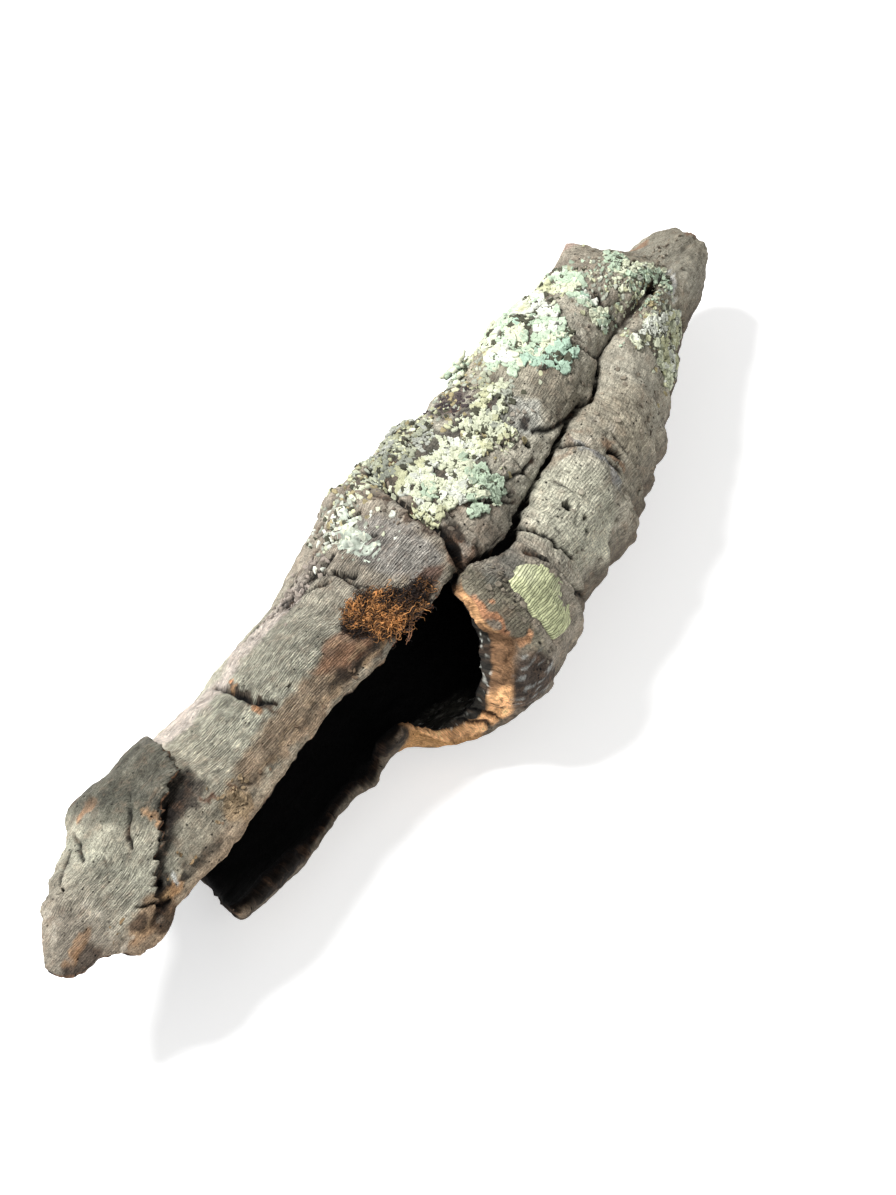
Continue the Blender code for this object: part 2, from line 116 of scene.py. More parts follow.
# Swellings: height, place, half width along in mm and half width round in degrees. The last is the spike.
SWELLINGS = (
    (1.6, 3, 2, 8, 20),
    (1.4, 24, -58, 8, 22),
    (1.8, 50, -58, 13, 22),
    (1.2, 80, -55, 11, 18),
    (1.5, 58, 15, 9, 22),
    (1.0, 30, 25, 9, 25),
    (1.2, 92, 20, 12, 22),
    (1.0, -30, 10, 16, 24),
    (2.6, -37, 247, 4, 9),
    (1.4, -98, 58, 9, 20),
    (6.3, 136, 60, 9, 13),
)

# Narrow cracks: depth and half width in mm, then places along the crack.
CRACKS = (
    (1.3, 0.7, ((24.5, -44), (26, -56), (28, -68), (32, -80), (37, -92), (40, -104))),
    (1.8, 0.6, ((69, -48), (70.5, -56))),
    (1.2, 0.9, ((-33, 55), (-30, 56))),
    (1.0, 0.7, ((-27, 54), (-22, 53), (-17, 50))),
    (1.1, 0.65, ((-20, 42), (-17, 34), (-13, 24))),
    (1.0, 0.7, ((-24, 60), (-15, 56), (-8, 58))),
    (1.0, 0.65, ((-14, 44), (-9, 36), (-4, 38))),
    (1.0, 0.7, ((2, 60), (6, 50), (9, 40))),
    (1.1, 0.7, ((-3, 56), (0, 46), (2, 36))),
    (1.0, 0.65, ((0, 33), (4, 22))),
    (1.1, 0.7, ((-11, 48), (-8, 40))),
    (1.2, 0.8, ((-36, 58), (-31, 60), (-27, 58))),
    (1.2, 0.8, ((-24, 52), (-20, 47), (-15, 46), (-11, 42))),
    (1.0, 0.7, ((-22, 43), (-17, 40), (-12, 36))),
    (0.9, 0.4, ((-117, -20), (-113, -27), (-109, -33))),
    (1.0, 0.45, ((-94, 27), (-99, 16), (-104, 10), (-106, 4))),
    (1.5, 0.55, ((31, -36), (32, -45), (34, -54), (36, -64))),
    (1.0, 0.45, ((60, -27), (64, -38), (66, -49), (67, -61))),
    (1.8, 0.9, ((10, -26), (13, -10), (14, 5), (17, 32), (25, 58))),
    (1.3, 0.6, ((-51, 50), (-51.4, 38), (-52.2, 27), (-51.6, 16), (-52.6, 6), (-51, -4))),
    (1.1, 0.6, ((-9, 30), (-10, 20), (-9.5, 12), (-10.5, 8))),
    (0.9, 0.5, ((-30, 52), (-22, 44), (-12, 38), (-9, 24), (-8, 16))),
    (1.0, 0.5, ((45, 26), (47, 12), (46, 0), (44, -20))),
    (0.9, 0.5, ((30, -4), (38, -12), (44, -16), (50, -17))),
    (0.9, 0.45, ((24, -5), (30, -17), (36, -24))),
    (0.8, 0.4, ((56, -8), (64, -14), (72, -20))),
    (1.0, 0.5, ((-104, -12), (-98, -4), (-92, 4))),
    (0.7, 0.42, ((-114, 27), (-110.5, 36), (-107.5, 46))),
    (0.6, 0.4, ((-121, 30), (-117, 38), (-112, 42))),
    (0.9, 0.5, ((95, -16), (90, -2), (80, 2), (76, 8))),
    (0.8, 0.5, ((112, -17), (110, -4), (114, 8))),
)

# Small round holes: place, radius and depth in mm.
PITS = (
    (44.5, -45.5, 1.3, 4),
    (46, -55, 0.6, 2),
    (44, -60, 0.7, 1.5),
    (-108.5, -22, 1.2, 2.5),
    (-31, 56, 1.0, 2),
    (129, -25, 3.0, 5),
    (-123, 25, 1.0, 2),
    (33, -54, 0.8, 2),
    (-44, -2, 0.7, 1.5),
    (36, -20, 0.9, 2),
    (52, -10, 0.9, 2),
    (5, 63, 1.6, 2.5),
    (11, 61, 1.3, 2),
    (19, 56, 1.8, 3),
    (23.5, 54, 1.5, 3),
)


def smooth_between(x, places, values):
    """Values at x on a curve through the given ones, with no overshoot between them."""
    places = np.asarray(places, float)
    values = np.asarray(values, float)
    steps = np.diff(places)
    rises = np.diff(values) / steps
    same_way = rises[:-1] * rises[1:] > 0
    both = np.where(same_way, rises[:-1] + rises[1:], 1)
    slopes = np.concatenate([rises[:1], np.where(same_way, 2 * rises[:-1] * rises[1:] / both, 0), rises[-1:]])
    x = np.clip(x, places[0], places[-1])
    i = np.clip(np.searchsorted(places, x) - 1, 0, len(steps) - 1)
    t = (x - places[i]) / steps[i]
    rise = values[i + 1] - values[i]
    start = slopes[i] * steps[i]
    end = slopes[i + 1] * steps[i]
    return values[i] + t * (start + t * (3 * rise - 2 * start - end + t * (start + end - 2 * rise)))


def ramp(x, start, end):
    """0 before start, 1 after end, and a smooth rise between them."""
    t = np.clip((x - start) / (end - start), 0, 1)
    return t * t * (3 - 2 * t)


def between(x, start, full, fading, end):
    """1 from full to fading and 0 outside start to end, with a smooth change between them."""
    return ramp(x, start, full) * ramp(-x, -end, -fading)


def bell(x, middle, half):
    return np.exp(-(((x - middle) / half) ** 2))


def turned(angle, base):
    """The angle measured from base, between -180 and 180."""
    return (angle - base + 180) % 360 - 180


def from_fissure(x, angle):
    """Degrees from the fissure, above 0 on the ridge's side."""
    places, angles = np.array(FISSURE, float).T
    return turned(angle, smooth_between(x, places, angles))


def distance_to(line, x, angle):
    """Distance along the sheet, in mm, to a line of places."""
    best = np.full(np.shape(x), 1e9)
    for (x0, a0), (x1, a1) in zip(line[:-1], line[1:]):
        across = turned(angle, a0) * MM_PER_DEGREE
        run = np.array((x1 - x0, (a1 - a0) * MM_PER_DEGREE))
        t = np.clip(((x - x0) * run[0] + across * run[1]) / (run @ run), 0, 1)
        best = np.minimum(best, np.hypot(x - x0 - t * run[0], across - t * run[1]))
    return best


def from_spot(x, angle, place, middle, along=1.0, across=1.0):
    """Distance along the sheet to one place, in half widths along and across, which are in mm."""
    return np.hypot((x - place) / along, turned(angle, middle) * MM_PER_DEGREE / across)


def inset(outline, x, angle):
    """How many mm inside a closed outline on the sheet each place lies. Below 0 it lies outside."""
    closed = (*outline, outline[0])
    crossings = np.zeros(len(x), int)
    for (x0, a0), (x1, a1) in zip(closed[:-1], closed[1:]):
        if a0 != a1:
            spans = (angle >= min(a0, a1)) & (angle < max(a0, a1))
            crossings += spans & (x < x0 + (angle - a0) * (x1 - x0) / (a1 - a0))
    away = distance_to(closed, x, angle)
    return np.where(crossings % 2 == 1, away, -away)


def cad_relief(x, angle):
    """Height of the part's outer surface over the smooth tube."""
    far = between(x, 0, 18, 112, 132)
    height = -(1.0 + 4.6 * far) * bell(from_fissure(x, angle), 0, 6 + 6 * far)
    for rise, place, middle, along, around in SWELLINGS:
        height = height + rise * bell(x, place, along) * bell(turned(angle, middle), 0, around)
    turn = np.radians(angle)
    height = height + 0.45 * np.sin(x / 8.1 + 2 * turn) * np.cos(3 * turn + 1)
    height = height + 0.35 * np.sin(x / 4.7 - 3 * turn) * np.sin(x / 13 + 5 * turn)
    for depth, width, line in GROOVES:
        height = height - depth * bell(distance_to(line, x, angle), 0, width)
    return height


def section(x, angle):
    """Centre (y, z) of the smooth tube at x, and its reach from there at an angle."""
    columns = np.array(SECTIONS, float).T
    y, z, left, right, top, bottom = [smooth_between(x, columns[0], column) for column in columns[1:]]
    turn = np.radians(angle)
    across = np.sin(turn)
    up = np.cos(turn)
    wide = np.abs(across) / np.where(across > 0, left, right)
    high = np.abs(up) / np.where(up > 0, top, bottom)
    return y, z, (wide**ROUNDNESS + high**ROUNDNESS) ** (-1 / ROUNDNESS)


def tube(x, angle, height):
    """Points height mm over the smooth tube, in the scene's metres."""
    y, z, reach = section(x, angle)
    turn = np.radians(angle)
    reach = reach + height
    points = np.stack([x + 0 * reach, y + reach * np.sin(turn), z + reach * np.cos(turn)], -1)
    return (points - REST) * MM


def sheet_place(points):
    """x, angle and height over the smooth tube of points in the scene's metres."""
    mm = points / MM + REST
    y, z, _ = section(mm[:, 0], np.zeros(len(mm)))
    across = mm[:, 1] - y
    up = mm[:, 2] - z
    angle = np.degrees(np.arctan2(across, up))
    _, _, reach = section(mm[:, 0], angle)
    return mm[:, 0], angle, np.hypot(across, up) - reach


def wrapped(x, angle, stretch=1.0):
    """The sheet rolled up, so that patterns on it meet where it closes. They grow along x by stretch."""
    turn = np.radians(angle)
    return np.stack([x / stretch, SHEET_RADIUS * np.sin(turn), SHEET_RADIUS * np.cos(turn)], -1)


def chance_at(cell, seed):
    """A number from 0 to 1 that belongs to each whole-numbered place."""
    mixed = cell[..., 0] * 73856093 ^ cell[..., 1] * 19349663 ^ cell[..., 2] * 83492791 ^ (seed * 2654435761)
    mixed = (mixed ^ (mixed >> 13)) * 1274126177
    mixed = mixed ^ (mixed >> 16)
    return (mixed & 0xFFFFFF) / 0xFFFFFF


def noise(points, size, seed):
    """Smooth noise from -1 to 1 with lumps about size mm wide."""
    q = points / size
    cell = np.floor(q).astype(np.int64)
    f = q - cell
    f = f * f * (3 - 2 * f)
    total = 0
    for dx in (0, 1):
        for dy in (0, 1):
            for dz in (0, 1):
                weight = (f[:, 0] if dx else 1 - f[:, 0]) * (f[:, 1] if dy else 1 - f[:, 1])
                weight = weight * (f[:, 2] if dz else 1 - f[:, 2])
                total = total + weight * chance_at(cell + np.array((dx, dy, dz)), seed)
    return 2 * total - 1


def noises(points, *layers):
    """A sum of noises: the strength, the size of its lumps in mm and the seed of each."""
    return sum(strength * noise(points, size, seed) for strength, size, seed in layers)


def layered(points, size, seed, layers=3):
    """Noise with finer noise on it."""
    return noises(points, *((0.5**k, size / 2**k, seed + k) for k in range(layers))) / 1.6


def cells(points, size, seed):
    """Distances to the nearest two of scattered points, in cell widths, and a number for the nearest."""
    q = points / size
    base = np.floor(q).astype(np.int64)
    nearest = np.full(len(q), 9.0)
    second = np.full(len(q), 9.0)
    own = np.zeros(len(q))
    for dx in (-1, 0, 1):
        for dy in (-1, 0, 1):
            for dz in (-1, 0, 1):
                cell = base + np.array((dx, dy, dz))
                spot = cell + np.stack([chance_at(cell, seed + k) for k in (1, 2, 3)], -1)
                distance = np.linalg.norm(q - spot, axis=1)
                closer = distance < nearest
                second = np.where(closer, nearest, np.minimum(second, distance))
                own = np.where(closer, chance_at(cell, seed + 4), own)
                nearest = np.minimum(nearest, distance)
    return nearest, second, own


def linear(colour):
    """A colour written as 0 to 255 per channel, as the shader takes it."""
    c = np.asarray(colour, float) / 255
    return np.where(c <= 0.04045, c / 12.92, ((c + 0.055) / 1.055) ** 2.4)


# Where the bark is streaked along its length, cracked into plates, or flaky: strength, place, then half
# widths in mm along and across.
STREAKED = (
    (1, -50, 5, 38, 20), (1, -2, 5, 13, 18), (0.8, -10, 30, 20, 12), (0.5, 50, -55, 30, 14),
    (0.4, 60, 5, 34, 14), (0.7, -118, 0, 20, 14), (0.6, 10, -45, 8, 12),
)
CRACKED = (
    (0.7, -18, 46, 24, 7), (0.8, -112, 14, 16, 14), (0.9, 20, -62, 14, 10), (0.7, 40, 0, 16, 10),
    (0.9, 118, 0, 14, 12), (0.5, 56, -58, 20, 14), (0.25, -36, -24, 24, 5), (0.3, -80, -34, 16, 6),
    (0.8, 24, -28, 14, 5), (0.6, 80, -10, 30, 8),
)
FLAKY = (
    (0.5, -78, -20, 10, 7), (0.4, -95, 15, 10, 14), (0.35, -22, 46, 18, 6), (0.4, 8, -50, 8, 16),
    (0.9, 36, -5, 18, 8), (0.7, 70, -40, 10, 12), (0.6, 100, 20, 20, 20), (0.7, -128, 10, 9, 16),
    (0.7, 118, -48, 16, 18), (1, 14, 6, 7, 14), (0.8, 52, 18, 8, 9), (0.7, -124, -28, 14, 8),
)

# Edges where one growth overlaps the next, on the ridge and on the right lobe: x and how far it steps down.
RIDGE_RINGS = ((17, 1.6), (30, 0.9), (45, 1.8), (61, 1.3), (78, 1.9), (92, 1.3), (107, 1.4), (121, 1.5))
LOBE_RINGS = (
    (12, 1.0), (26, 2.2), (36, 0.9), (49, 0.9), (64, 2.0), (73, 1.2), (84, 1.5), (95, 1.3),
    (107, 1.3), (119, 1.2),
)

SLIT_DEPTH = 4.6  # of the open fissure


def zone(spots, x, angle):
    """How strong the nearest of some zones is at each place."""
    total = 0
    for strength, *spot in spots:
        total = np.maximum(total, strength * bell(from_spot(x, angle, *spot), 0, 1))
    return total


def ringed(x, rings):
    """Rises slowly towards each ring's edge and steps down past it."""
    height = 0
    start = rings[0][0] - 12
    for place, step in rings:
        share = np.clip((x - start) / (place - start), 0, 1)
        height = height + step * (share**2.2) * (1 - ramp(x, place - 0.2, place + 0.9))
        start = place
    return height


def growths(x, angle, bent_x, taller=0.0):
    """Height of the overlapping growths on the ridge and on the right lobe, taller by a share on the lobe."""
    lobe = ramp(-from_fissure(x, angle), 0, 6) * (1 + taller) * ringed(bent_x, LOBE_RINGS)
    ridge = ramp(from_fissure(x, angle), 0, 6) * ringed(bent_x, RIDGE_RINGS)
    return ramp(x, 0, 8) * (lobe + ridge)


def from_slit(x, angle):
    """Distance in mm along the sheet to the ragged sides of the open fissure. Below 0 it is inside."""
    here = wrapped(x, angle)
    bent = from_fissure(x, angle) * MM_PER_DEGREE + noises(here, (0.8, 5, 11), (0.35, 1.8, 12))
    wide = 0.1 + 0.9 * bell(x, 27, 9) + 0.35 * bell(x, 57, 9) + 0.4 * bell(x, 84, 6)
    return np.abs(bent) - wide - 0.3 * noise(wrapped(x, 0 * angle), 5, 13)


def slit_length(x):
    """1 where the fissure is open, and 0 past its ends."""
    return between(x, 1, 5, 104, 112)


def cracks_near(x, angle):
    """The depth, half width and distance in mm of each narrow crack, whose course wanders."""
    wander = 1.1 * noise(wrapped(x, angle), 3.2, 9)
    for depth, width, line in CRACKS:
        yield depth, width, distance_to(line, x + wander, angle + wander)


def bark_relief(x, angle):
    """Height of the weathered outer surface over the part's own, in mm."""
    here = wrapped(x, angle)
    streaked = zone(STREAKED, x, angle)
    height = noises(here, (0.75, 9, 1), (0.42, 4, 2), (0.24, 1.9, 3), (0.12, 1.1, 14)) * (1 - 0.5 * streaked)
    height = height + (0.3 + streaked) * 0.14 * noise(wrapped(x, angle, 8), 1.2, 4)
    bent_x = x + noises(here, (1.8, 8, 15), (0.7, 2.5, 16))
    height = height + growths(x, angle, bent_x, 0.8 * ramp(np.abs(turned(angle, -85)), 30, 5))
    flaky = np.clip(0.14 + zone(FLAKY, x, angle), 0, 1)
    steps = 2.6 * layered(here, 6, 5)
    height = height + flaky * 0.5 * (np.floor(steps) + ramp(steps - np.floor(steps), 0, 0.14))
    warped = wrapped(x + 1.0 * noise(here, 3, 6), angle + 2.0 * noise(here, 3, 7), 1.5)
    near, far, _ = cells(warped, 4.5, 8)
    height = height - (0.03 + zone(CRACKED, x, angle)) * 0.7 * (1 - ramp(far - near, 0.02, 0.16))
    for depth, width, away in cracks_near(x, angle):
        height = height - 1.3 * depth * bell(away, 0, width)
    for place, middle, radius, depth in PITS:
        away = from_spot(x, angle, place, middle) + 0.3 * noise(here, 1.5, 10)
        height = height - depth * (1 - ramp(away, 0.55 * radius, 1.15 * radius))
    return height - SLIT_DEPTH * (1 - ramp(from_slit(x, angle), -0.5, 0.5)) * slit_length(x)


# Tones of the outside, then which of them it has along the bark:
# x, then at the top, near the rims and underneath, where the darker tone is painted shade.
PALE_GREY = (167, 165, 148)
SOFT_GREY = (158, 155, 139)
LIGHT_GREY = (172, 167, 151)
WARM_GREY = (152, 145, 128)
MID_GREY = (146, 138, 124)
TAN_BROWN = (150, 129, 106)
DUSKY_BROWN = (116, 97, 80)
UNDERSIDE_SHADE = (96, 88, 76)
BASE = (
    (-140, MID_GREY, DUSKY_BROWN, UNDERSIDE_SHADE),
    (-128, MID_GREY, TAN_BROWN, UNDERSIDE_SHADE),
    (-112, PALE_GREY, TAN_BROWN, UNDERSIDE_SHADE),
    (-90, WARM_GREY, TAN_BROWN, UNDERSIDE_SHADE),
    (-60, PALE_GREY, TAN_BROWN, UNDERSIDE_SHADE),
    (-30, SOFT_GREY, DUSKY_BROWN, UNDERSIDE_SHADE),
    (-8, MID_GREY, DUSKY_BROWN, UNDERSIDE_SHADE),
    (8, MID_GREY, MID_GREY, UNDERSIDE_SHADE),
    (22, MID_GREY, MID_GREY, UNDERSIDE_SHADE),
    (34, LIGHT_GREY, LIGHT_GREY, UNDERSIDE_SHADE),
    (58, LIGHT_GREY, LIGHT_GREY, UNDERSIDE_SHADE),
    (76, WARM_GREY, WARM_GREY, UNDERSIDE_SHADE),
    (94, LIGHT_GREY, LIGHT_GREY, UNDERSIDE_SHADE),
    (125, MID_GREY, WARM_GREY, UNDERSIDE_SHADE),
    (140, WARM_GREY, WARM_GREY, UNDERSIDE_SHADE),
    (146, LIGHT_GREY, LIGHT_GREY, UNDERSIDE_SHADE),
    (166, WARM_GREY, WARM_GREY, UNDERSIDE_SHADE),
)

# Stains on the outside, and painted shade in some holes and grooves: colour, strength, place, then half
# widths in mm along and across.
STAINS_AND_SHADE = (
    ((200, 187, 178), 0.75, -62, 48, 17, 7),
    ((200, 187, 178), 0.7, -30, 47, 20, 6),
    ((140, 116, 92), 0.75, -48, -20, 32, 7),
    ((62, 48, 40), 0.75, -24, -24, 14, 3),
    ((134, 92, 66), 0.65, -28, -12, 10, 5),
    ((98, 98, 86), 0.75, -97, 24, 6, 13),
    # Painted shadow beside the flap's free edge.
    ((62, 54, 50), 0.8, -90, -4, 9, 4),
    ((186, 140, 102), 0.8, -101, 47, 3.6, 2.6),
    ((206, 160, 116), 0.85, -97.5, 3, 1.4, 3.2),
    ((150, 118, 86), 0.7, -114, -30, 12, 5),
    ((56, 44, 34), 0.85, -113, -36, 5, 4),
    ((48, 38, 32), 0.8, -120, -26, 3, 2),
    ((160, 122, 84), 0.7, -106, -30, 3, 3),
    ((60, 46, 38), 0.8, -136, -18, 7, 4),
    ((158, 120, 84), 0.6, -133, -10, 5, 2.5),
    ((168, 140, 104), 0.6, -80, -27, 5, 6),
    ((92, 58, 42), 0.8, -84, -13, 2.6, 1.0),
    ((86, 54, 40), 0.8, -78, -18, 1.6, 1.2),
    ((147, 143, 136), 0.85, 3, 10, 8, 16),
    ((92, 62, 48), 0.8, 2, -18, 6, 3),
    ((106, 102, 86), 0.75, 7.5, -50, 5, 15),
    ((176, 126, 92), 0.9, 2.6, -52, 1.0, 9),
    ((182, 136, 100), 0.85, 6.5, -67, 2.6, 1.4),
    ((88, 90, 86), 0.6, 16, -40, 8, 5),
    ((192, 190, 170), 0.8, 46, -52, 15, 15),
    ((128, 130, 132), 0.7, 63, -46, 1.2, 10),
    ((142, 108, 80), 0.65, 69.5, -50, 1.8, 7),
    ((150, 140, 120), 0.4, 84, -52, 12, 9),
    ((182, 182, 172), 0.8, 58, 4, 7, 8),
    ((132, 108, 88), 0.5, 60, -30, 9, 1.6),
    ((50, 45, 48), 0.8, 47, 26, 6, 4),
    ((54, 48, 50), 0.7, 54, 16, 5, 3),
    ((38, 33, 32), 0.9, 57, -2, 1.6, 2),
    ((170, 108, 68), 0.7, 26, 40, 1.5, 1.6),
    ((160, 104, 70), 0.7, 53, 36, 2.4, 1.6),
    ((66, 58, 50), 0.6, 26, 54, 14, 5),
    ((188, 164, 150), 0.8, 132, 62, 5, 5),
    ((170, 132, 104), 0.7, 148, 38, 5, 4),
    ((132, 90, 64), 0.6, 164, 0, 3, 9),
    ((222, 221, 214), 0.85, 135, -40, 2.6, 6),
    ((156, 98, 66), 0.8, 130, -18, 1.6, 1.6),
    ((188, 142, 92), 0.9, -17, -110, 9, 8),
    ((66, 57, 50), 1.0, 3, -86, 9, 7.5),
    ((52, 46, 40), 0.85, 118, -20, 11, 3),
    ((96, 74, 58), 0.5, 14, 2, 3, 12),
    # Painted shade in a small hole.
    ((30, 26, 24), 0.9, -108, -22, 2.2, 2.2),
    ((214, 216, 210), 0.85, -104.5, -26, 1.0, 2.2),
    ((26, 24, 22), 0.9, -102.5, -31, 1.4, 2),
    # Painted shade along the underside by the lower edge.
    ((26, 22, 19), 0.95, -58, -97, 40, 4.5),
    ((122, 116, 102), 0.8, 72, -5, 7, 8),
    ((42, 38, 33), 0.7, -96, -32, 7, 2.6),
    ((214, 214, 208), 0.8, 139, -30, 3, 5),
    # Painted shade in the deep hole near the knob.
    ((24, 21, 19), 0.9, 133, -22, 2.2, 2.4),
    ((86, 74, 62), 0.6, -16, -26, 7, 2.5),
    # Painted shade: a dark line along a groove.
    ((36, 31, 28), 0.85, 14.5, 8, 1.5, 20),
    ((132, 100, 78), 0.6, 12, -20, 3, 4),
    ((196, 160, 116), 0.8, -110, -28, 2, 2.4),
    # Painted shade: a dark line along a crack.
    ((66, 50, 40), 0.85, -52, 16, 1.0, 14),
    ((196, 134, 88), 0.8, -50.8, 36, 0.9, 1.3),
    ((190, 134, 90), 0.7, -53, 4, 0.8, 1.8),
    ((186, 146, 106), 0.7, -52, 30, 0.9, 2),
    ((70, 60, 60), 0.8, 56, 46, 9, 6),
    # Painted shade: a dark line along a groove.
    ((64, 52, 46), 0.6, 12.5, 0, 1.2, 14),
)


def blended(colour, shade, share):
    """The colour with a share of the shade over it."""
    return colour * (1 - share[:, None]) + shade * share[:, None]


def darkened(colour, share):
    return colour * (1 - share)[:, None]


def base_colour(x, angle):
    """The tone of the outside before it is stained, from the table of tones, with painted shade underneath.
    """
    table = np.array([(row[0], *linear(row[1]), *linear(row[2]), *linear(row[3])) for row in BASE]).T
    top, sides, under = np.array([np.interp(x, table[0], column) for column in table[1:]]).reshape(3, 3, -1)
    from_top = turned(angle, 2)
    low = ramp(-from_top, 22, 48) + ramp(from_top, 70, 90)
    narrower = ramp(x, 20, 36)
    # Painted shade: the underside darker.
    lower = ramp(np.abs(from_top), 72 - 15 * narrower, 112 - 12 * narrower)
    return blended(blended(top.T, sides.T, low), under.T, lower)


def copy_of(node, name):
    """A new object with the mesh of a part of the frame."""
    thing = bpy.data.objects.new(name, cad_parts[node].data.copy())
    bpy.context.scene.collection.objects.link(thing)
    return thing


def apply_modifier(thing, kind, **settings):
    modifier = thing.modifiers.new("m", kind)
    for key, value in settings.items():
        setattr(modifier, key, value)
    bpy.context.view_layer.objects.active = thing
    with bpy.context.temp_override(object=thing, active_object=thing):
        bpy.ops.object.modifier_apply(modifier=modifier.name)


def mesh_arrays(mesh):
    points = np.empty(len(mesh.vertices) * 3)
    mesh.vertices.foreach_get("co", points)
    normals = np.empty(len(mesh.vertices) * 3)
    mesh.vertices.foreach_get("normal", normals)
    return points.reshape(-1, 3), normals.reshape(-1, 3)


def held_in(points):
    """The points, with none outside the part's own box."""
    low, high = np.array(cad_box[0]), np.array(cad_box[1])
    return np.clip(points, low + 0.0001, high - 0.0001)


def add_colour(mesh, name, values):
    attribute = mesh.color_attributes.new(name, "FLOAT_COLOR", "POINT")
    full = np.ones((len(values), 4), np.float32)
    full[:, : values.shape[1]] = values
    attribute.data.foreach_set("color", full.ravel())


def flat_sheet(x, angle):
    """The sheet laid flat."""
    return np.stack([x, angle * MM_PER_DEGREE, 0 * x], -1)


def new_piece(name, points, faces, material, node, slot, tint, **vectors):
    """A piece on the body root that takes the place of a part's node, with its colours and other values."""
    mesh = bpy.data.meshes.new(name)
    mesh.vertices.add(len(points))
    mesh.vertices.foreach_set("co", np.asarray(held_in(points), np.float32).ravel())
    faces = np.asarray(faces, np.int32)
    mesh.loops.add(faces.size)
    mesh.loops.foreach_set("vertex_index", faces.ravel())
    mesh.polygons.add(len(faces))
    mesh.polygons.foreach_set("loop_start", np.arange(len(faces), dtype=np.int32) * faces.shape[1])
    mesh.update(calc_edges=True)
    mesh.polygons.foreach_set("use_smooth", np.ones(len(faces), bool))
    add_colour(mesh, "tint", np.clip(tint, 0.0, 0.95))
    for key, values in vectors.items():
        attribute = mesh.attributes.new(key, "FLOAT_VECTOR", "POINT")
        attribute.data.foreach_set("vector", np.asarray(values, np.float32).ravel())
    thing = bpy.data.objects.new(name, mesh)
    bpy.context.scene.collection.objects.link(thing)
    mesh.materials.append(material)
    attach(thing, "root")
    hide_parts(node)
    return thing


def piece_of_quads(name, points, quads, material, node, slot, tint, **vectors):
    """A piece with some of a grid's quads and only the points that they use. Returns it and those points."""
    used, index = np.unique(quads, return_inverse=True)
    vectors = {key: values[used] for key, values in vectors.items()}
    faces = index.reshape(-1, 4)
    return new_piece(name, points[used], faces, material, node, slot, tint[used], **vectors), used


class Nodes:
    """Adds nodes to a material and joins them."""

    def __init__(self, name):
        self.material = bpy.data.materials.new(name)
        self.material.use_nodes = True
        self.tree = self.material.node_tree
        self.shader = self.tree.nodes["Principled BSDF"]

    def put(self, node, key, value):
        if isinstance(value, bpy.types.NodeSocket):
            self.tree.links.new(value, node.inputs[key])
        else:
            node.inputs[key].default_value = value

    def add(self, kind, inputs=None, **settings):
        node = self.tree.nodes.new(kind)
        for key, value in settings.items():
            setattr(node, key, value)
        for key, value in (inputs or {}).items():
            self.put(node, key, value)
        return node

    def attribute(self, name, output="Vector"):
        return self.add("ShaderNodeAttribute", attribute_name=name).outputs[output]

    def noise(self, vector, scale, detail=3.0, roughness=0.6):
        inputs = {"Vector": vector, "Scale": scale, "Detail": detail, "Roughness": roughness}
        return self.add("ShaderNodeTexNoise", inputs).outputs["Fac"]

    def lines(self, vector, scale, distortion, finer, roughness, direction="Y"):
        inputs = {"Vector": vector, "Scale": scale, "Distortion": distortion, "Detail": 3.0}
        inputs.update({"Detail Scale": finer, "Detail Roughness": roughness})
        return self.add("ShaderNodeTexWave", inputs, bands_direction=direction).outputs["Fac"]

    def cells(self, vector, scale, feature="F1"):
        inputs = {"Vector": vector, "Scale": scale, "Randomness": 1.0}
        return self.add("ShaderNodeTexVoronoi", inputs, feature=feature).outputs["Distance"]

    def spread(self, value, low, high, new_low=0.0, new_high=1.0):
        inputs = {"Value": value, "From Min": low, "From Max": high, "To Min": new_low, "To Max": new_high}
        return self.add("ShaderNodeMapRange", inputs).outputs["Result"]

    def chain(self, operation, first, *others):
        for other in others:
            first = self.add("ShaderNodeMath", {0: first, 1: other}, operation=operation).outputs[0]
        return first

    def product(self, *values):
        return self.chain("MULTIPLY", *values)

    def total(self, *values):
        return self.chain("ADD", *values)

    def outside(self, zone, value):
        """The value, but 1 in the zone."""
        return self.chain("MAXIMUM", value, zone)

    def opposite(self, value):
        return self.chain("SUBTRACT", 1.0, value)

    def faded(self, share, value):
        """1 where the share is 0, and the value where it is 1."""
        return self.add("ShaderNodeMix", {0: share, 2: 1.0, 3: value}).outputs[0]

    def scaled(self, vector, by):
        return self.add("ShaderNodeVectorMath", {0: vector, 1: by}, operation="MULTIPLY").outputs[0]

    def times(self, colour, value):
        return self.add("ShaderNodeVectorMath", {0: colour, "Scale": value}, operation="SCALE").outputs[0]

    def mix(self, share, first, second):
        inputs = {0: share, 6: first, 7: second}
        return self.add("ShaderNodeMix", inputs, data_type="RGBA").outputs[2]

    def finish(self, colour, height=None, relief=0.0, **constants):
        """Joins the colour, and bumps relief metres high, to the shader, with its constants."""
        self.put(self.shader, "Base Color", colour)
        if height is not None:
            bump = self.add("ShaderNodeBump", {"Height": height, "Distance": relief, "Strength": 1.0})
            self.put(self.shader, "Normal", bump.outputs["Normal"])
        for key, value in constants.items():
            self.put(self.shader, key.replace("_", " "), value)
        return self.material


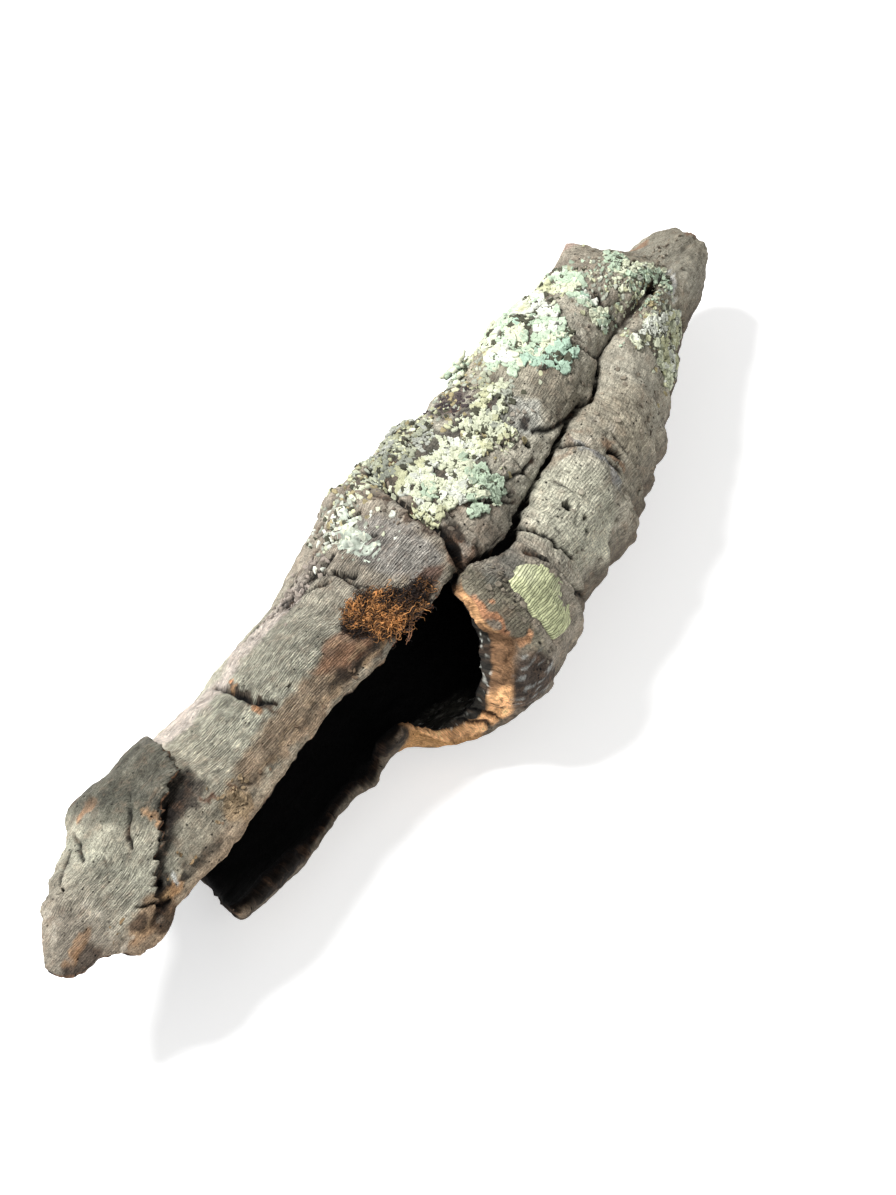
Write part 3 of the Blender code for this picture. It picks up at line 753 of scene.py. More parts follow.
def bark_material():
    """Weathered bark: painted colour, with streaks, fine lines, grain and specks, and the finest relief."""
    n = Nodes("bark_weathered")
    tint = n.attribute("tint", "Color")
    sheet = n.attribute("sheet")
    flat = n.attribute("flat")
    marks = n.add("ShaderNodeSeparateColor", {0: n.attribute("marks", "Color")})
    streaked, crossed, dark = marks.outputs[:3]
    lines = n.lines(flat, 0.44, 8.0, 0.45, 0.65)
    rungs = n.lines(flat, 0.24, 6.0, 0.5, 0.6, "X")
    streaks = n.noise(n.scaled(sheet, (0.08, 1, 1)), 0.8, 4, 0.7)
    threads = n.noise(n.scaled(sheet, (0.14, 1, 1)), 2.1, 3, 0.65)
    mottle = n.noise(sheet, 0.22, 5, 0.7)
    grain = n.noise(sheet, 1.2, 5, 0.75)
    crumb = n.noise(sheet, 3.4, 3, 0.6)
    broken = n.spread(n.noise(sheet, 0.4, 3), 0.38, 0.56)
    spotty = n.spread(n.noise(sheet, 0.2, 3), 0.5, 0.58)
    pin = n.outside(n.opposite(spotty), n.spread(n.cells(sheet, 0.6), 0.1, 0.22, 0.08, 1.0))
    seams = n.spread(n.cells(n.scaled(sheet, (0.55, 1, 1)), 0.42, "DISTANCE_TO_EDGE"), 0.0, 0.05, 0.78, 1.0)
    seams = n.outside(n.spread(n.noise(sheet, 0.3, 3), 0.46, 0.54), seams)
    line_light = n.outside(n.opposite(broken), n.spread(lines, 0.0, 0.36, 0.36, 1.1))
    streak_light = n.product(
        n.spread(streaks, 0.34, 0.66, 0.78, 1.22), n.spread(threads, 0.35, 0.65, 0.5, 1.45), line_light
    )
    streak_light = n.faded(streaked, streak_light)
    rung_light = n.faded(crossed, n.outside(broken, n.spread(rungs, 0.0, 0.2, 0.74, 1.02)))
    light = n.product(
        n.spread(mottle, 0.3, 0.7, 0.7, 1.5), n.spread(grain, 0.3, 0.7, 0.52, 1.5),
        n.spread(crumb, 0.3, 0.7, 0.6, 1.38), streak_light, rung_light, pin, seams,
    )
    warm = n.spread(n.noise(sheet, 0.3, 4), 0.5, 0.72, 0.0, 0.35)
    colour = n.mix(dark, n.mix(warm, tint, (0.17, 0.095, 0.055, 1)), tint)
    height = n.total(
        n.product(grain, 0.9), n.product(crumb, 0.4), n.product(streak_light, streaked, 0.5),
        n.product(rung_light, 0.35), n.product(pin, 0.6), n.product(seams, 0.2),
    )
    return n.finish(n.times(colour, light), height, 0.0009, Roughness=0.88, Specular_IOR_Level=0.2)


def lichen_material(name, lined=False):
    """A thin dry crust: each lobe's own colour, powdery grain, dark specks, and fine lines if it is lined."""
    n = Nodes(name)
    sheet = n.attribute("sheet")
    mottle = n.noise(sheet, 0.5, 3)
    grain = n.noise(sheet, 2.4, 3, 0.7)
    spotty = n.spread(n.noise(sheet, 0.3, 2), 0.5, 0.6)
    pin = n.outside(n.opposite(spotty), n.spread(n.cells(sheet, 0.85), 0.12, 0.22, 0.1, 1.0))
    light = n.product(n.spread(mottle, 0.3, 0.7, 0.85, 1.12), n.spread(grain, 0.3, 0.7, 0.8, 1.16), pin)
    height = n.total(n.product(grain, 0.7), n.product(mottle, 0.5))
    if lined:
        lines = n.lines(n.attribute("flat"), 0.62, 5.0, 0.6, 0.65)
        light = n.product(light, n.spread(lines, 0.0, 0.4, 0.55, 1.08))
        height = n.total(height, n.spread(lines, 0.0, 0.4))
    colour = n.times(n.attribute("tint", "Color"), light)
    return n.finish(colour, height, 0.0003, Roughness=0.92, Specular_IOR_Level=0.15)


def fibre_material():
    """Rust-orange fibres, each of its own colour."""
    n = Nodes("rusty_fibre")
    grain = n.noise(n.add("ShaderNodeTexCoord").outputs["Object"], 900, 3)
    colour = n.times(n.attribute("tint", "Color"), n.spread(grain, 0.3, 0.7, 0.7, 1.3))
    return n.finish(colour, grain, 0.0001, Roughness=0.6, Specular_IOR_Level=0.4)


# The lifted flap's free edge, as (x, angle).
FLAP_EDGE = (
    (-74, 53), (-77, 36), (-79, 24), (-83, 9), (-88, 7), (-93, 3), (-101, -10), (-104, -12), (-110, -19),
    (-113, -31),
)
LOWER_RIM = -62  # the mouth's lower rim lies past this angle
TEAR_BOTTOM = -105  # angle of the middle of the torn face's lower part


def weathered(points, normals, x, angle, depth, rise, shares):
    """The bark's points moved to its weathered surface."""
    outside, edge, inside = shares
    here = wrapped(x, angle)
    solid = points / MM
    ragged = noises(solid, (0.7, 2.4, 41), (0.45, 1.2, 42))
    lining = 0.5 * noise(solid, 5, 43) + 0.25 * noise(wrapped(x, angle, 6), 1.8, 44)
    move = outside * rise + edge * ragged + inside * lining
    begun = ramp(x, 0, 4)
    held = ramp(np.abs(from_fissure(x, angle)) * MM_PER_DEGREE, 0.6, 2.2) * begun + (1 - begun)
    move = np.where(outside < 0.8, move * held, move)
    move = move - 0.8 * (1 - ramp(from_splits(x, depth), 0.2, 0.7)) * low_tear(angle) * edge
    near_edge = bell(distance_to(FLAP_EDGE, x, angle), 0, 1.7) * ramp(-depth, 0.1, 0.5)
    saw = (0.7 * x + 0.35 * angle + 2.2 * noise(here, 6, 46)) / 3.4
    tooth = 1.3 * (saw - np.floor(saw)) - 0.65 + 0.6 * noise(here, 1.4, 45)
    slide = 0.77 * near_edge * tooth * ramp(-turned(angle, 38), -8, 8)
    slid = tube(x + slide, angle - slide / MM_PER_DEGREE, 0 * x) - tube(x, angle, 0 * x)
    return held_in(points + slid + normals * move[:, None] * MM)


def from_splits(x, depth, bend=0.0, other_bend=0.0):
    """Distance in mm to the nearer of the two splits along the torn face."""
    return np.minimum(np.abs(x + 4.8 + 0.68 * depth + bend), np.abs(x + 2.9 + 0.58 * depth + other_bend))


def low_tear(angle):
    """1 on the lower part of the torn face."""
    return ramp(-np.abs(turned(angle, TEAR_BOTTOM)), -14, -9)


def stained(colour, x, angle, ragged_x, ragged_angle, blotch):
    """The outside's colour with its stains and the painted shade in the same table, a smudged band along the
    mouth, and flecks.
    """
    here = wrapped(x, angle)
    for shade, strength, *spot in STAINS_AND_SHADE:
        share = strength * (1 - ramp(from_spot(ragged_x, ragged_angle, *spot), 0.72, 1.12))
        colour = blended(colour, linear(shade), share)
    band = between(x, -88, -76, -6, 2) * ramp(-turned(angle, -3), -3, 4) * ramp(turned(angle, -34), 0, 4)
    band = band * (0.55 + 0.45 * ramp(-turned(angle, -20), -4, 4)) * (0.7 + 0.3 * ramp(x, -50, -20))
    smudge = ramp(noise(wrapped(x, angle, 2.2), 1.7, 88) + 0.5 * noise(here, 5, 89), 0.0, 0.5)
    colour = darkened(colour, 0.62 * smudge * band)
    scuffed = ramp(noise(wrapped(x, angle, 1.6), 1.5, 90), 0.3, 0.55)
    colour = blended(colour, linear((176, 150, 118)), 0.5 * scuffed * band)
    own = cells(here, 2.6, 56)[2]
    fleck = ramp(own, 0.86, 0.9) * ramp(zone(FLAKY, x, angle) + 0.25 * blotch, 0.3, 0.6)
    return blended(colour, linear((206, 198, 182)), 0.4 * fleck)


def ragged_place(x, angle):
    """x and angle with a wander that makes the edges of stains ragged."""
    here = wrapped(x, angle)
    return (
        x + noises(here, (2.0, 6, 52), (1.4, 2.2, 53), (0.7, 1.1, 57)),
        angle + noises(here, (4.0, 6, 54), (2.8, 2.2, 55), (1.4, 1.1, 58)),
    )


def overgrown(colour, x, angle):
    """The outside's colour, with painted shade under the lichens that shows in the gaps between their lobes,
    and dark under the tuft.
    """
    lichen_gap_shade = np.zeros(len(x))
    for name, outline in LICHENS.items():
        share = LICHEN_SHADE.get(name, 0.6) * (1 - ramp(-inset(outline, x, angle), 0, 1.8))
        lichen_gap_shade = np.maximum(lichen_gap_shade, share)
    colour = darkened(colour, 0.85 * lichen_gap_shade)
    return blended(colour, linear((58, 36, 24)), 0.85 * (1 - ramp(-inset(TUFT, x, angle), 0, 0.7)))


def relief_shaded(colour, x, angle, ragged_x, local):
    """The outside's colour with painted shade in its hollows, cracks, holes and fissure, and painted light on
    what stands up.
    """
    here = wrapped(x, angle)
    charred = ramp(1.1 - from_spot(ragged_x, angle, 3, -86, 9, 8), 0, 0.3)
    streak = ramp(noise(wrapped(x - 0.45 * angle, angle, 5), 0.55, 78), 0.3, 0.6)
    colour = blended(colour, linear((176, 180, 176)), 0.4 * streak * charred)
    # Painted shade: darker in the hollows of the relief.
    colour = darkened(colour, 0.88 * ramp(-local, 0.3, 1.1))
    # Painted shade in the narrow cracks.
    cracks = np.zeros(len(x))
    for depth, _, away in cracks_near(x, angle):
        cracks = np.maximum(cracks, min(1, 0.5 + 0.5 * depth) * (1 - ramp(away, 0.3, 0.95)))
    colour = darkened(colour, 0.85 * cracks * (0.6 + 0.4 * ramp(noise(here, 2.5, 96), -0.5, 0.1)))
    # Painted shade: the small holes nearly black.
    holes = np.zeros(len(x))
    for place, middle, radius, _ in PITS:
        away = from_spot(x, angle, place, middle)
        holes = np.maximum(holes, 1 - ramp(away, 0.7 * radius, 1.1 * radius))
    colour = darkened(colour, 0.95 * holes)
    # Painted light: lighter where the relief stands up.
    colour = darkened(colour, -0.22 * ramp(local, 0.25, 0.9))
    # Painted shade beside the open fissure, and nearly black inside it.
    beside = from_slit(x, angle)
    colour = darkened(colour, 0.5 * slit_length(x) * (1 - ramp(beside, 0, 2.2)))
    return darkened(colour, 0.97 * slit_length(x) * (1 - ramp(beside, -0.4, 0.35)))


def flapped(colour, x, angle, depth):
    """The outside's colour with the dull flap, and a painted shadow on the bark beside its free edge."""
    here = wrapped(x, angle)
    flap = ramp(-depth, 0.7, 1.3) * between(x, -130, -122, -74, -68)
    tone = linear((80, 79, 70)) * (1 + 0.5 * layered(here, 3, 60) + 0.5 * noise(here, 1.1, 98))[:, None]
    edge_places, edge_angles = np.array(FLAP_EDGE[::-1], float).T
    past_edge = np.interp(angle, edge_angles, edge_places) - x
    folded = ramp(past_edge, -0.2, 0.8) * between(angle, 12, 20, 66, 78)
    dull = np.maximum(flap, folded) * ramp(x + 0.1 * angle + 2 * noise(here, 5, 79), -103, -92)
    colour = blended(colour, tone, 0.88 * dull)
    # Painted shadow cast by the flap's free edge on the bark beside it, with a little brown in it.
    reach = 2.8 + 3.8 * bell(x, -88, 9)
    flap_cast_shadow = 1 - ramp((distance_to(FLAP_EDGE, x, angle) + 0.6 * noise(here, 2, 65)) / reach, 0.45, 1.2)
    flap_cast_shadow = flap_cast_shadow * (1 - flap) * ramp(-turned(angle, 14), -6, 6)
    return darkened(colour, 0.9 * flap_cast_shadow) + linear((50, 40, 36)) * 0.25 * flap_cast_shadow[:, None]


def torn_colour(x, angle, depth, solid, flecks):
    """Colour of the fracture beside the mouth: tan wood, brown stains, a charred rim and splits darkened with
    painted shade.
    """
    light = 1 + 0.35 * layered(solid, 3, 61) + 0.3 * noise(solid, 0.9, 72)
    colour = linear((238, 184, 132)) * light[:, None]
    share = depth / 10 + 0.06 * noise(solid, 3, 67)
    brown = 0.5 * noise(solid, 3.5, 62) + 2.0 * bell(angle % 360, 291, 14) * bell(share, 0.5, 0.35)
    brown = np.clip(ramp(brown, 0.35, 0.8) + 0.5 * ramp(noise(solid, 2.2, 73), 0.25, 0.6), 0, 1)
    colour = blended(colour, linear((92, 69, 51)), 0.85 * brown)
    upper = turned(angle, -64)
    colour = darkened(colour, ramp(upper, 0, 6) * (0.1 + 0.45 * ramp(noise(solid, 1.8, 97), -0.1, 0.4)))
    charred_rim = blended(linear((46, 44, 40)), linear((176, 178, 170)), flecks)
    colour = blended(colour, charred_rim, ramp(share - 0.6 + 0.1 * ramp(upper, 0, 14), 0, 0.08))
    # Painted shade: the two splits nearly black.
    splits = from_splits(x, depth, 0.5 * noise(solid, 2.5, 69), 0.4 * noise(solid, 2, 70))
    splits = (1 - ramp(splits, 0.2, 0.55)) * low_tear(angle) * ramp(depth, -0.5, 0.5)
    return darkened(colour, 0.95 * splits)


def rim_colour(x, angle, depth, solid, flecks, fissure_shade):
    """Colour of the sheet's broken edges: brown near the outside, dark further in, torn beside the mouth."""
    torn = between(x, -25, -19, 8, 14) * ramp(-np.abs(turned(angle, 272)), -60, -46)
    lower = ramp(-turned(angle, LOWER_RIM), -4, 6)
    deep = ramp(depth + 0.6 * noise(solid, 3, 77) + 1.1 * lower, 1.0, 2.2) * (1 - torn)
    colour = linear((120, 90, 68)) * (1 + 0.6 * layered(solid, 2.5, 63))[:, None]
    colour = darkened(darkened(colour, 0.94 * deep), 0.4 * lower)
    colour = blended(colour, torn_colour(x, angle, depth, solid, flecks), torn)
    # Painted shade: the edges inside the fissure nearly black.
    return blended(colour, linear((9, 8, 8)), fissure_shade)


def lining_colour(x, angle, solid, flecks):
    """Colour of the hollow: nearly black, with an ashy patch below the torn face."""
    colour = linear((13, 12, 12)) * (1 + 0.5 * noise(wrapped(x, angle, 8), 1.6, 64))[:, None]
    burnt = between(x, -18, -14, 3, 9) * ramp(turned(angle, -142), -6, 6) * ramp(-turned(angle, -106), -4, 4)
    ash = blended(linear((96, 94, 86)), linear((236, 236, 228)), flecks)
    return blended(colour, ash, burnt * (0.35 + 0.65 * ramp(noise(solid, 2.5, 74), -0.2, 0.3)))


def bark_skin():
    """The part's bark with its weathered surface, in four pieces: the outside in three and the lining."""
    whole = copy_of("bark", "bark_whole")
    apply_modifier(whole, "REMESH", mode="VOXEL", voxel_size=VOXEL * MM)
    apply_modifier(whole, "SMOOTH", factor=0.5, iterations=5)
    points, normals = mesh_arrays(whole.data)
    corners = np.empty(len(whole.data.loops), np.int32)
    whole.data.loops.foreach_get("vertex_index", corners)
    quads = corners.reshape(-1, 4)

    x, angle, height = sheet_place(points)
    depth = cad_relief(x, angle) - height
    turn = np.radians(angle)
    facing = normals[:, 1] * np.sin(turn) + normals[:, 2] * np.cos(turn)
    knob = ramp(x, 136, 140)
    outside = ramp(facing, 0.05, 0.45) * (1 - ramp(depth, 1.4, 2.6) * (1 - knob))
    inside = ramp(-facing, 0.1, 0.5) * ramp(depth, 1.0, 2.2) * (1 - knob)
    edge = np.clip(1 - outside - inside, 0, 1)
    rise = bark_relief(x, angle)
    moved = weathered(points, normals, x, angle, depth, rise, (outside, edge, inside))

    here = wrapped(x, angle)
    solid = points / MM
    ragged_x, ragged_angle = ragged_place(x, angle)
    blotch = layered(here, 14, 51)
    colour = base_colour(x, angle) * ((1 + 0.22 * blotch) * (1 + 0.3 * layered(here, 2.4, 59)))[:, None]
    colour = overgrown(stained(colour, x, angle, ragged_x, ragged_angle, blotch), x, angle)
    local = rise - (0.75 * noise(here, 9, 1) + growths(x, angle, x))
    colour = flapped(relief_shaded(colour, x, angle, ragged_x, local), x, angle, depth)
    flecks = ramp(noise(solid, 0.9, 68), 0.46, 0.66)
    # Painted shade where the edges lie inside the open fissure.
    fissure_shade = ramp(x, 3, 8) * (1 - ramp(np.abs(from_fissure(x, angle)), 8, 16)) * ramp(depth, 0.6, 2.4)
    colour = colour * outside[:, None]
    colour = colour + rim_colour(x, angle, depth, solid, flecks, fissure_shade) * edge[:, None]
    colour = colour + lining_colour(x, angle, solid, flecks) * inside[:, None]
    flap_shadow = ramp(-facing, 0.1, 0.5) * (1 - ramp(depth, 0.5, 1.5)) * (1 - knob)
    colour = np.maximum(darkened(colour, 0.9 * flap_shadow), 0.002)

    streaked = np.clip(0.25 + zone(STREAKED, x, angle), 0, 1) * outside
    crossed = (0.12 + 0.88 * ramp(x, 4, 16) * ramp(noise(here, 11, 66), -0.5, 0.3)) * outside
    marks = np.stack([streaked, crossed, np.clip(inside + fissure_shade, 0, 1)], -1)
    material = bark_material()
    lining = inside[quads].mean(axis=1) > 0.5
    middle = x[quads].mean(axis=1)
    for name, chosen in (
        ("bark_near", ~lining & (middle < 0)),
        ("bark_middle", ~lining & (middle >= 0) & (middle < FAR_START)),
        ("bark_far", ~lining & (middle >= FAR_START)),
        ("bark_lining", lining),
    ):
        piece, used = piece_of_quads(name, moved, quads[chosen], material, "bark", "bark", colour,
                                     sheet=here, flat=flat_sheet(x, angle))
        add_colour(piece.data, "marks", marks[used])
        if name == "bark_lining":
            apply_modifier(piece, "DECIMATE", ratio=1 / COARSE)
    bpy.data.objects.remove(whole)


# Outlines of the lichens on the sheet, as (x, angle).
LICHENS = {
    "lichen_main": (
        (21, 46), (26, 55), (36, 65), (45, 66), (46, 54), (42, 37), (40, 24), (43, 17), (42, 6),
        (36, -3), (37, -10),
        (35, -16), (29, -17), (24, -15), (22, -11), (25, -6), (22, -1), (16, -1), (14, 4),
        (16, 14), (20, 22), (18, 33),
    ),
    "lichen_crest": (
        (43, 14), (44, 4), (48, -2), (53, -1), (55, 6), (60, 11), (66, 18), (67, 28), (71, 38),
        (66, 36), (58, 31),
        (50, 31), (44, 27),
    ),
    "lichen_mint": (
        (80, 61), (88, 60), (99, 64), (108, 62), (112, 54), (104, 28), (98, 16), (92, 4),
        (88, -4), (83, -6),
        (79, -3), (78, 8), (76, 17), (73, 24), (74, 36), (80, 48),
    ),
    "lichen_tip": (
        (115, 62), (121, 50), (120, 40), (116, 24), (111, 12), (110, -3), (108, -11), (104, -12), (103, -4),
        (107, 8), (107, 20), (109, 34), (114, 50),
    ),
    "lichen_neck": (
        (132, 28), (135, 24), (133, 8), (138, -4), (140, -20), (137, -34), (133, -35), (131, -22),
        (128, -10), (128, 8),
    ),
    "lichen_right": (
        (105, -31), (110, -31), (116, -35), (122, -40), (130, -50), (134, -68), (130, -80),
        (121, -68), (118, -76),
        (113, -84), (107, -64), (109, -50),
    ),
    "lichen_pale": (
        (-5, 28), (0, 44), (6, 54), (10, 48), (6, 34), (5, 25), (3, 15), (0, 9), (-4, 11), (-3, 20),
    ),
    "lichen_green": (
        (11, -45), (24, -46), (25.5, -58), (28, -70), (31, -85), (26, -83), (19, -78), (12, -74), (11, -60),
    ),
}

# How much painted shade darkens the bark under them, where it shows between the lobes. It is 0.6 under the
# others.
LICHEN_SHADE = {"lichen_green": 0.2, "lichen_pale": 0.15, "lichen_main": 0.85, "lichen_right": 0.7}

# The tuft's outline, as (x, angle).
TUFT = (
    (-23.5, -3), (-20, 3), (-15.5, 4.5), (-12, 2.5), (-9.8, -4), (-8, -9), (-5, -13.5),
    (-2.5, -14), (-0.2, -16),
    (-0.5, -23), (-4.5, -27), (-9.5, -28), (-13.5, -29), (-16.5, -26), (-20, -23), (-21, -15), (-23.5, -10),
)

MINT = (192, 209, 184)
CREAM = (222, 226, 198)
WHITE = (228, 231, 217)
YELLOW = (208, 209, 172)
GREY = (182, 186, 170)
TEAL = (176, 201, 180)
OCHRE = (170, 158, 122)
DARK = (84, 84, 70)

# Colours of each lichen's lobes from one side of its drifts to the other, their radius and spacing in mm, and
# the share of the patch that they cover.
LOBES = {
    "lichen_main": ((GREY, YELLOW, CREAM, WHITE, CREAM, MINT), 0.95, 0.92, 0.77),
    "lichen_crest": ((GREY, CREAM, YELLOW, CREAM, MINT), 0.85, 0.95, 0.68),
    "lichen_mint": ((YELLOW, CREAM, WHITE, MINT, CREAM, TEAL), 1.5, 1.4, 0.9),
    "lichen_tip": ((YELLOW, CREAM, MINT, WHITE, TEAL), 1.2, 1.25, 0.85),
    "lichen_neck": ((WHITE, CREAM, MINT, GREY), 1.1, 1.2, 0.82),
    "lichen_right": ((CREAM, YELLOW, WHITE, CREAM, MINT), 1.1, 1.15, 0.8),
}

# Drifts of small crumbs of lichen: count, place, half widths in mm along and across, and their colours.
CRUMBS = (
    (420, 30, 52, 22, 8, (GREY, CREAM, OCHRE, YELLOW, DARK)),
    (90, 62, 44, 12, 9, (GREY, OCHRE, DARK)),
    (90, 4, 50, 8, 6, (GREY, WHITE, DARK)),
    (120, 46, 14, 8, 10, (YELLOW, CREAM, OCHRE, DARK)),
    (130, 76, 40, 6, 12, (CREAM, GREY, YELLOW)),
    (150, 112, 30, 10, 16, (GREY, CREAM, YELLOW, DARK)),
    (130, 124, 6, 8, 14, (GREY, MINT, CREAM)),
    (120, 116, -52, 14, 14, (GREY, CREAM, OCHRE)),
    (60, 128, -30, 5, 8, (OCHRE, CREAM, GREY)),
    (60, 2, 32, 6, 10, (GREY, WHITE, CREAM)),
    (170, 119, -18, 10, 7, (CREAM, MINT, YELLOW, GREY)),
    (60, 134, -20, 4, 8, (CREAM, MINT)),
)

# Where the lichens are dead or missing and dark bark shows: place, then half widths in mm along and across.
BARE = (
    (50, 33, 8, 4), (56, 16, 2.5, 1.5), (41, 30, 4, 1.2), (20, 36, 2.5, 2.5), (38, 48, 3, 1.5),
    (30, 30, 2.5, 1.2), (86, 44, 2.5, 1.2), (106, 30, 2, 4), (120, -60, 3, 3), (110, -46, 2.5, 3),
)

# Corners round a lobe and round a crumb, then the radii of their rings as shares and how light each ring is.
AROUND = 12
CRUMB_CORNERS = 7
RINGS = (0.4, 0.75, 1.0, 0.96)
# The last ring dips into the bark; its low value is painted shade that outlines each lobe and crumb.
RING_TONES_AND_SHADE = (0.9, 0.96, 1.12, 0.22)


def box_of(outline, margin):
    """The lowest and highest x and angle of an outline, with a margin in mm."""
    places = np.array(outline, float)
    return places.min(0) - margin, places.max(0) + margin / MM_PER_DEGREE


def scattered(outline, spacing, chance, margin):
    """Scattered places over an outline on the sheet, some up to margin mm outside it."""
    low, high = box_of(outline, 3)
    rows = np.arange(low[1], high[1], spacing * 0.87 / MM_PER_DEGREE)
    columns = np.arange(low[0], high[0], spacing)
    seeds = np.array([(u + spacing / 2 * (j % 2), v) for j, v in enumerate(rows) for u in columns])
    seeds = seeds + chance.uniform(-0.5, 0.5, (len(seeds), 2)) * spacing * (1, 1 / MM_PER_DEGREE)
    ragged = margin * noise(wrapped(*seeds.T), 2.5, 73)
    return seeds[inset(outline, *seeds.T) > ragged - 0.3 * margin]


def scales(name, seeds, sizes, shades, lifts, chance, material, node, slot, flat=0.7, around=AROUND):
    """One thin, wavy scale at each seed, seated on the weathered bark and curled up at its edge."""
    turns = np.arange(around) * 2 * np.pi / around
    points, colours = [], []
    for (x0, a0), size, shade, level in zip(seeds, sizes, shades, lifts):
        waves = chance.integers(3, 6)
        outline = 1 + 0.26 * np.sin(waves * turns + chance.uniform(0, 6))
        outline = outline + 0.14 * np.sin((2 * waves - 1) * turns + chance.uniform(0, 6))
        outline = outline + chance.uniform(-0.12, 0.12, around)
        squash = chance.uniform(flat, 1.0)
        heading = chance.uniform(0, np.pi)
        tilt = chance.uniform(-0.2, 0.2, 2)
        curl = chance.uniform(0.0, 0.45) * min(size, 1.4)
        ring_lifts = (0.12 + 0.2 * curl, 0.1 + 0.5 * curl, 0.06 + curl, -0.8)
        us, vs, hs, tones = [0.0], [0.0], [level + 0.14], [0.88]
        for ring in range(4):
            u = size * RINGS[ring] * outline * np.cos(turns)
            v = size * RINGS[ring] * outline * np.sin(turns) * squash
            us.extend(u * math.cos(heading) - v * math.sin(heading))
            vs.extend(u * math.sin(heading) + v * math.cos(heading))
            hs.extend(level + ring_lifts[ring] + 0.1 * np.sin(2 * waves * turns + 1) * (ring == 2))
            tones.extend([RING_TONES_AND_SHADE[ring]] * around)
        us, vs, hs = np.array(us), np.array(vs), np.array(hs)
        points.append((x0 + us, a0 + vs / MM_PER_DEGREE, hs + us * tilt[0] + vs * tilt[1]))
        colours.append(np.array(tones)[:, None] * shade)
    count = 1 + 4 * around
    x, angle, height = (np.concatenate([p[k] for p in points]) for k in range(3))
    ground = (cad_relief(x, angle) + bark_relief(x, angle)).reshape(-1, count)
    centre = np.median(ground, axis=1)[:, None]
    ground = np.clip(ground, centre - 0.5, centre + 0.5).ravel()
    pattern = [(0, 1 + i, 1 + (i + 1) % around) for i in range(around)]
    for start in range(1, 1 + 3 * around, around):
        for i in range(around):
            j = (i + 1) % around
            pattern.append((start + i, start + around + i, start + around + j))
            pattern.append((start + i, start + around + j, start + j))
    faces = (np.arange(len(seeds))[:, None, None] * count + np.array(pattern)[None]).reshape(-1, 3)
    where = tube(x, angle, ground + height)
    sheet = wrapped(x, angle) + height[:, None]
    new_piece(name, where, faces, material, node, slot, np.concatenate(colours), sheet=sheet)


def lobed_crust(name, material):
    """A lichen of many thin, wavy lobes that overlap like scales, with dark gaps between them."""
    palette, radius, spacing, cover = LOBES[name]
    chance = np.random.default_rng(SEED + len(name) + len(LICHENS[name]))
    seeds = scattered(LICHENS[name], spacing, chance, 1.8)
    gaps = noises(wrapped(*seeds.T), (0.6, 3.4, 71), (0.4, 1.6, 74))
    for spot in BARE:
        gaps = gaps - 1.6 * bell(from_spot(*seeds.T, *spot) ** 2, 0, 1)
    seeds = seeds[gaps > np.quantile(gaps, 1 - cover)]
    x, angle = seeds.T
    here = wrapped(x, angle)
    low_end = {"lichen_main": 0.35 * ramp(-angle, -8, 12), "lichen_mint": 0.4 * ramp(-angle, -30, 0)}
    drift = 0.46 + noises(here, (0.45, 7, 72), (0.14, 2.5, 75)) + chance.normal(0, 0.05, len(seeds))
    drift = drift + low_end.get(name, 0)
    picks = np.clip((drift * len(palette)).astype(int), 0, len(palette) - 1)
    shades = np.array([linear(palette[k]) for k in picks]) * chance.uniform(0.8, 1.04, (len(seeds), 1))
    shades[chance.random(len(seeds)) < 0.1] = linear(DARK)
    sizes = radius * chance.uniform(0.45, 1.3, len(seeds)) * (1 + 0.35 * noise(here, 8, 76))
    if name in ("lichen_main", "lichen_crest"):
        small = ramp(angle, 22, 40)
        sizes = sizes * (1 - 0.35 * small)
        shades = 0.88 * darkened(shades, 0.42 * small)
    lifts = chance.uniform(0.0, 0.65, len(seeds))
    scales(name + "_lobes", seeds, sizes, shades, lifts, chance, material, name, "lichen")


def lichen_crumbs(material):
    """Small crumbs of lichen round the patches, and a loose spray that stands up on the crest."""
    chance = np.random.default_rng(SEED + 9)
    seeds, shades, sizes, lifts = [], [], [], []
    for count, place, middle, along, across, palette in CRUMBS:
        seeds.extend(chance.normal(0, 0.6, (count, 2)) * (along, across / MM_PER_DEGREE) + (place, middle))
        picks = chance.integers(0, len(palette), count)
        shades.extend(linear(palette[k]) * chance.uniform(0.6, 1.05) for k in picks)
        sizes.extend(chance.uniform(0.3, 0.85, count))
        lifts.extend(chance.uniform(-0.1, 0.3, count))
    for step in range(60):
        seeds.append((chance.normal(72, 2.6), chance.uniform(54, 65)))
        shades.append(linear(CREAM if step % 3 else MINT) * chance.uniform(0.8, 1.05))
        sizes.append(chance.uniform(0.45, 1.15))
        lifts.append(chance.uniform(0.2, 3.4))
    seeds = np.array(seeds)
    keep = (from_slit(*seeds.T) > 1.2) & (seeds[:, 1] < 72)
    seeds, sizes, shades, lifts = (np.array(values)[keep] for values in (seeds, sizes, shades, lifts))
    scales("lichen_crumbs", seeds, sizes, shades, lifts, chance, material, "lichen_main", "lichen",
           around=CRUMB_CORNERS)


# Zones with loose chips of bark: count, place, half widths in mm along and across, and colour.
CHIPS = (
    (60, -14, 48, 16, 7, (150, 140, 130)),
    (26, -79, -22, 8, 5, (158, 138, 110)),
    (20, -44, -26, 30, 3, (132, 112, 92)),
    (70, 16, 28, 6, 16, (122, 112, 100)),
    (50, 46, 0, 14, 8, (146, 138, 126)),
    (70, 56, 42, 10, 9, (74, 66, 66)),
    (20, 50, -60, 18, 14, (166, 160, 144)),
    (40, 84, -48, 16, 14, (150, 140, 124)),
    (30, 86, 6, 16, 12, (150, 140, 126)),
    (50, 118, 20, 12, 14, (142, 132, 116)),
    (30, 146, 0, 12, 16, (140, 130, 114)),
    (40, 8, -52, 7, 12, (130, 122, 108)),
    (24, -112, -24, 12, 6, (144, 122, 92)),
    (90, 0, 120, 100, 22, (112, 103, 94)),
    (60, 40, 200, 70, 22, (104, 96, 88)),
)


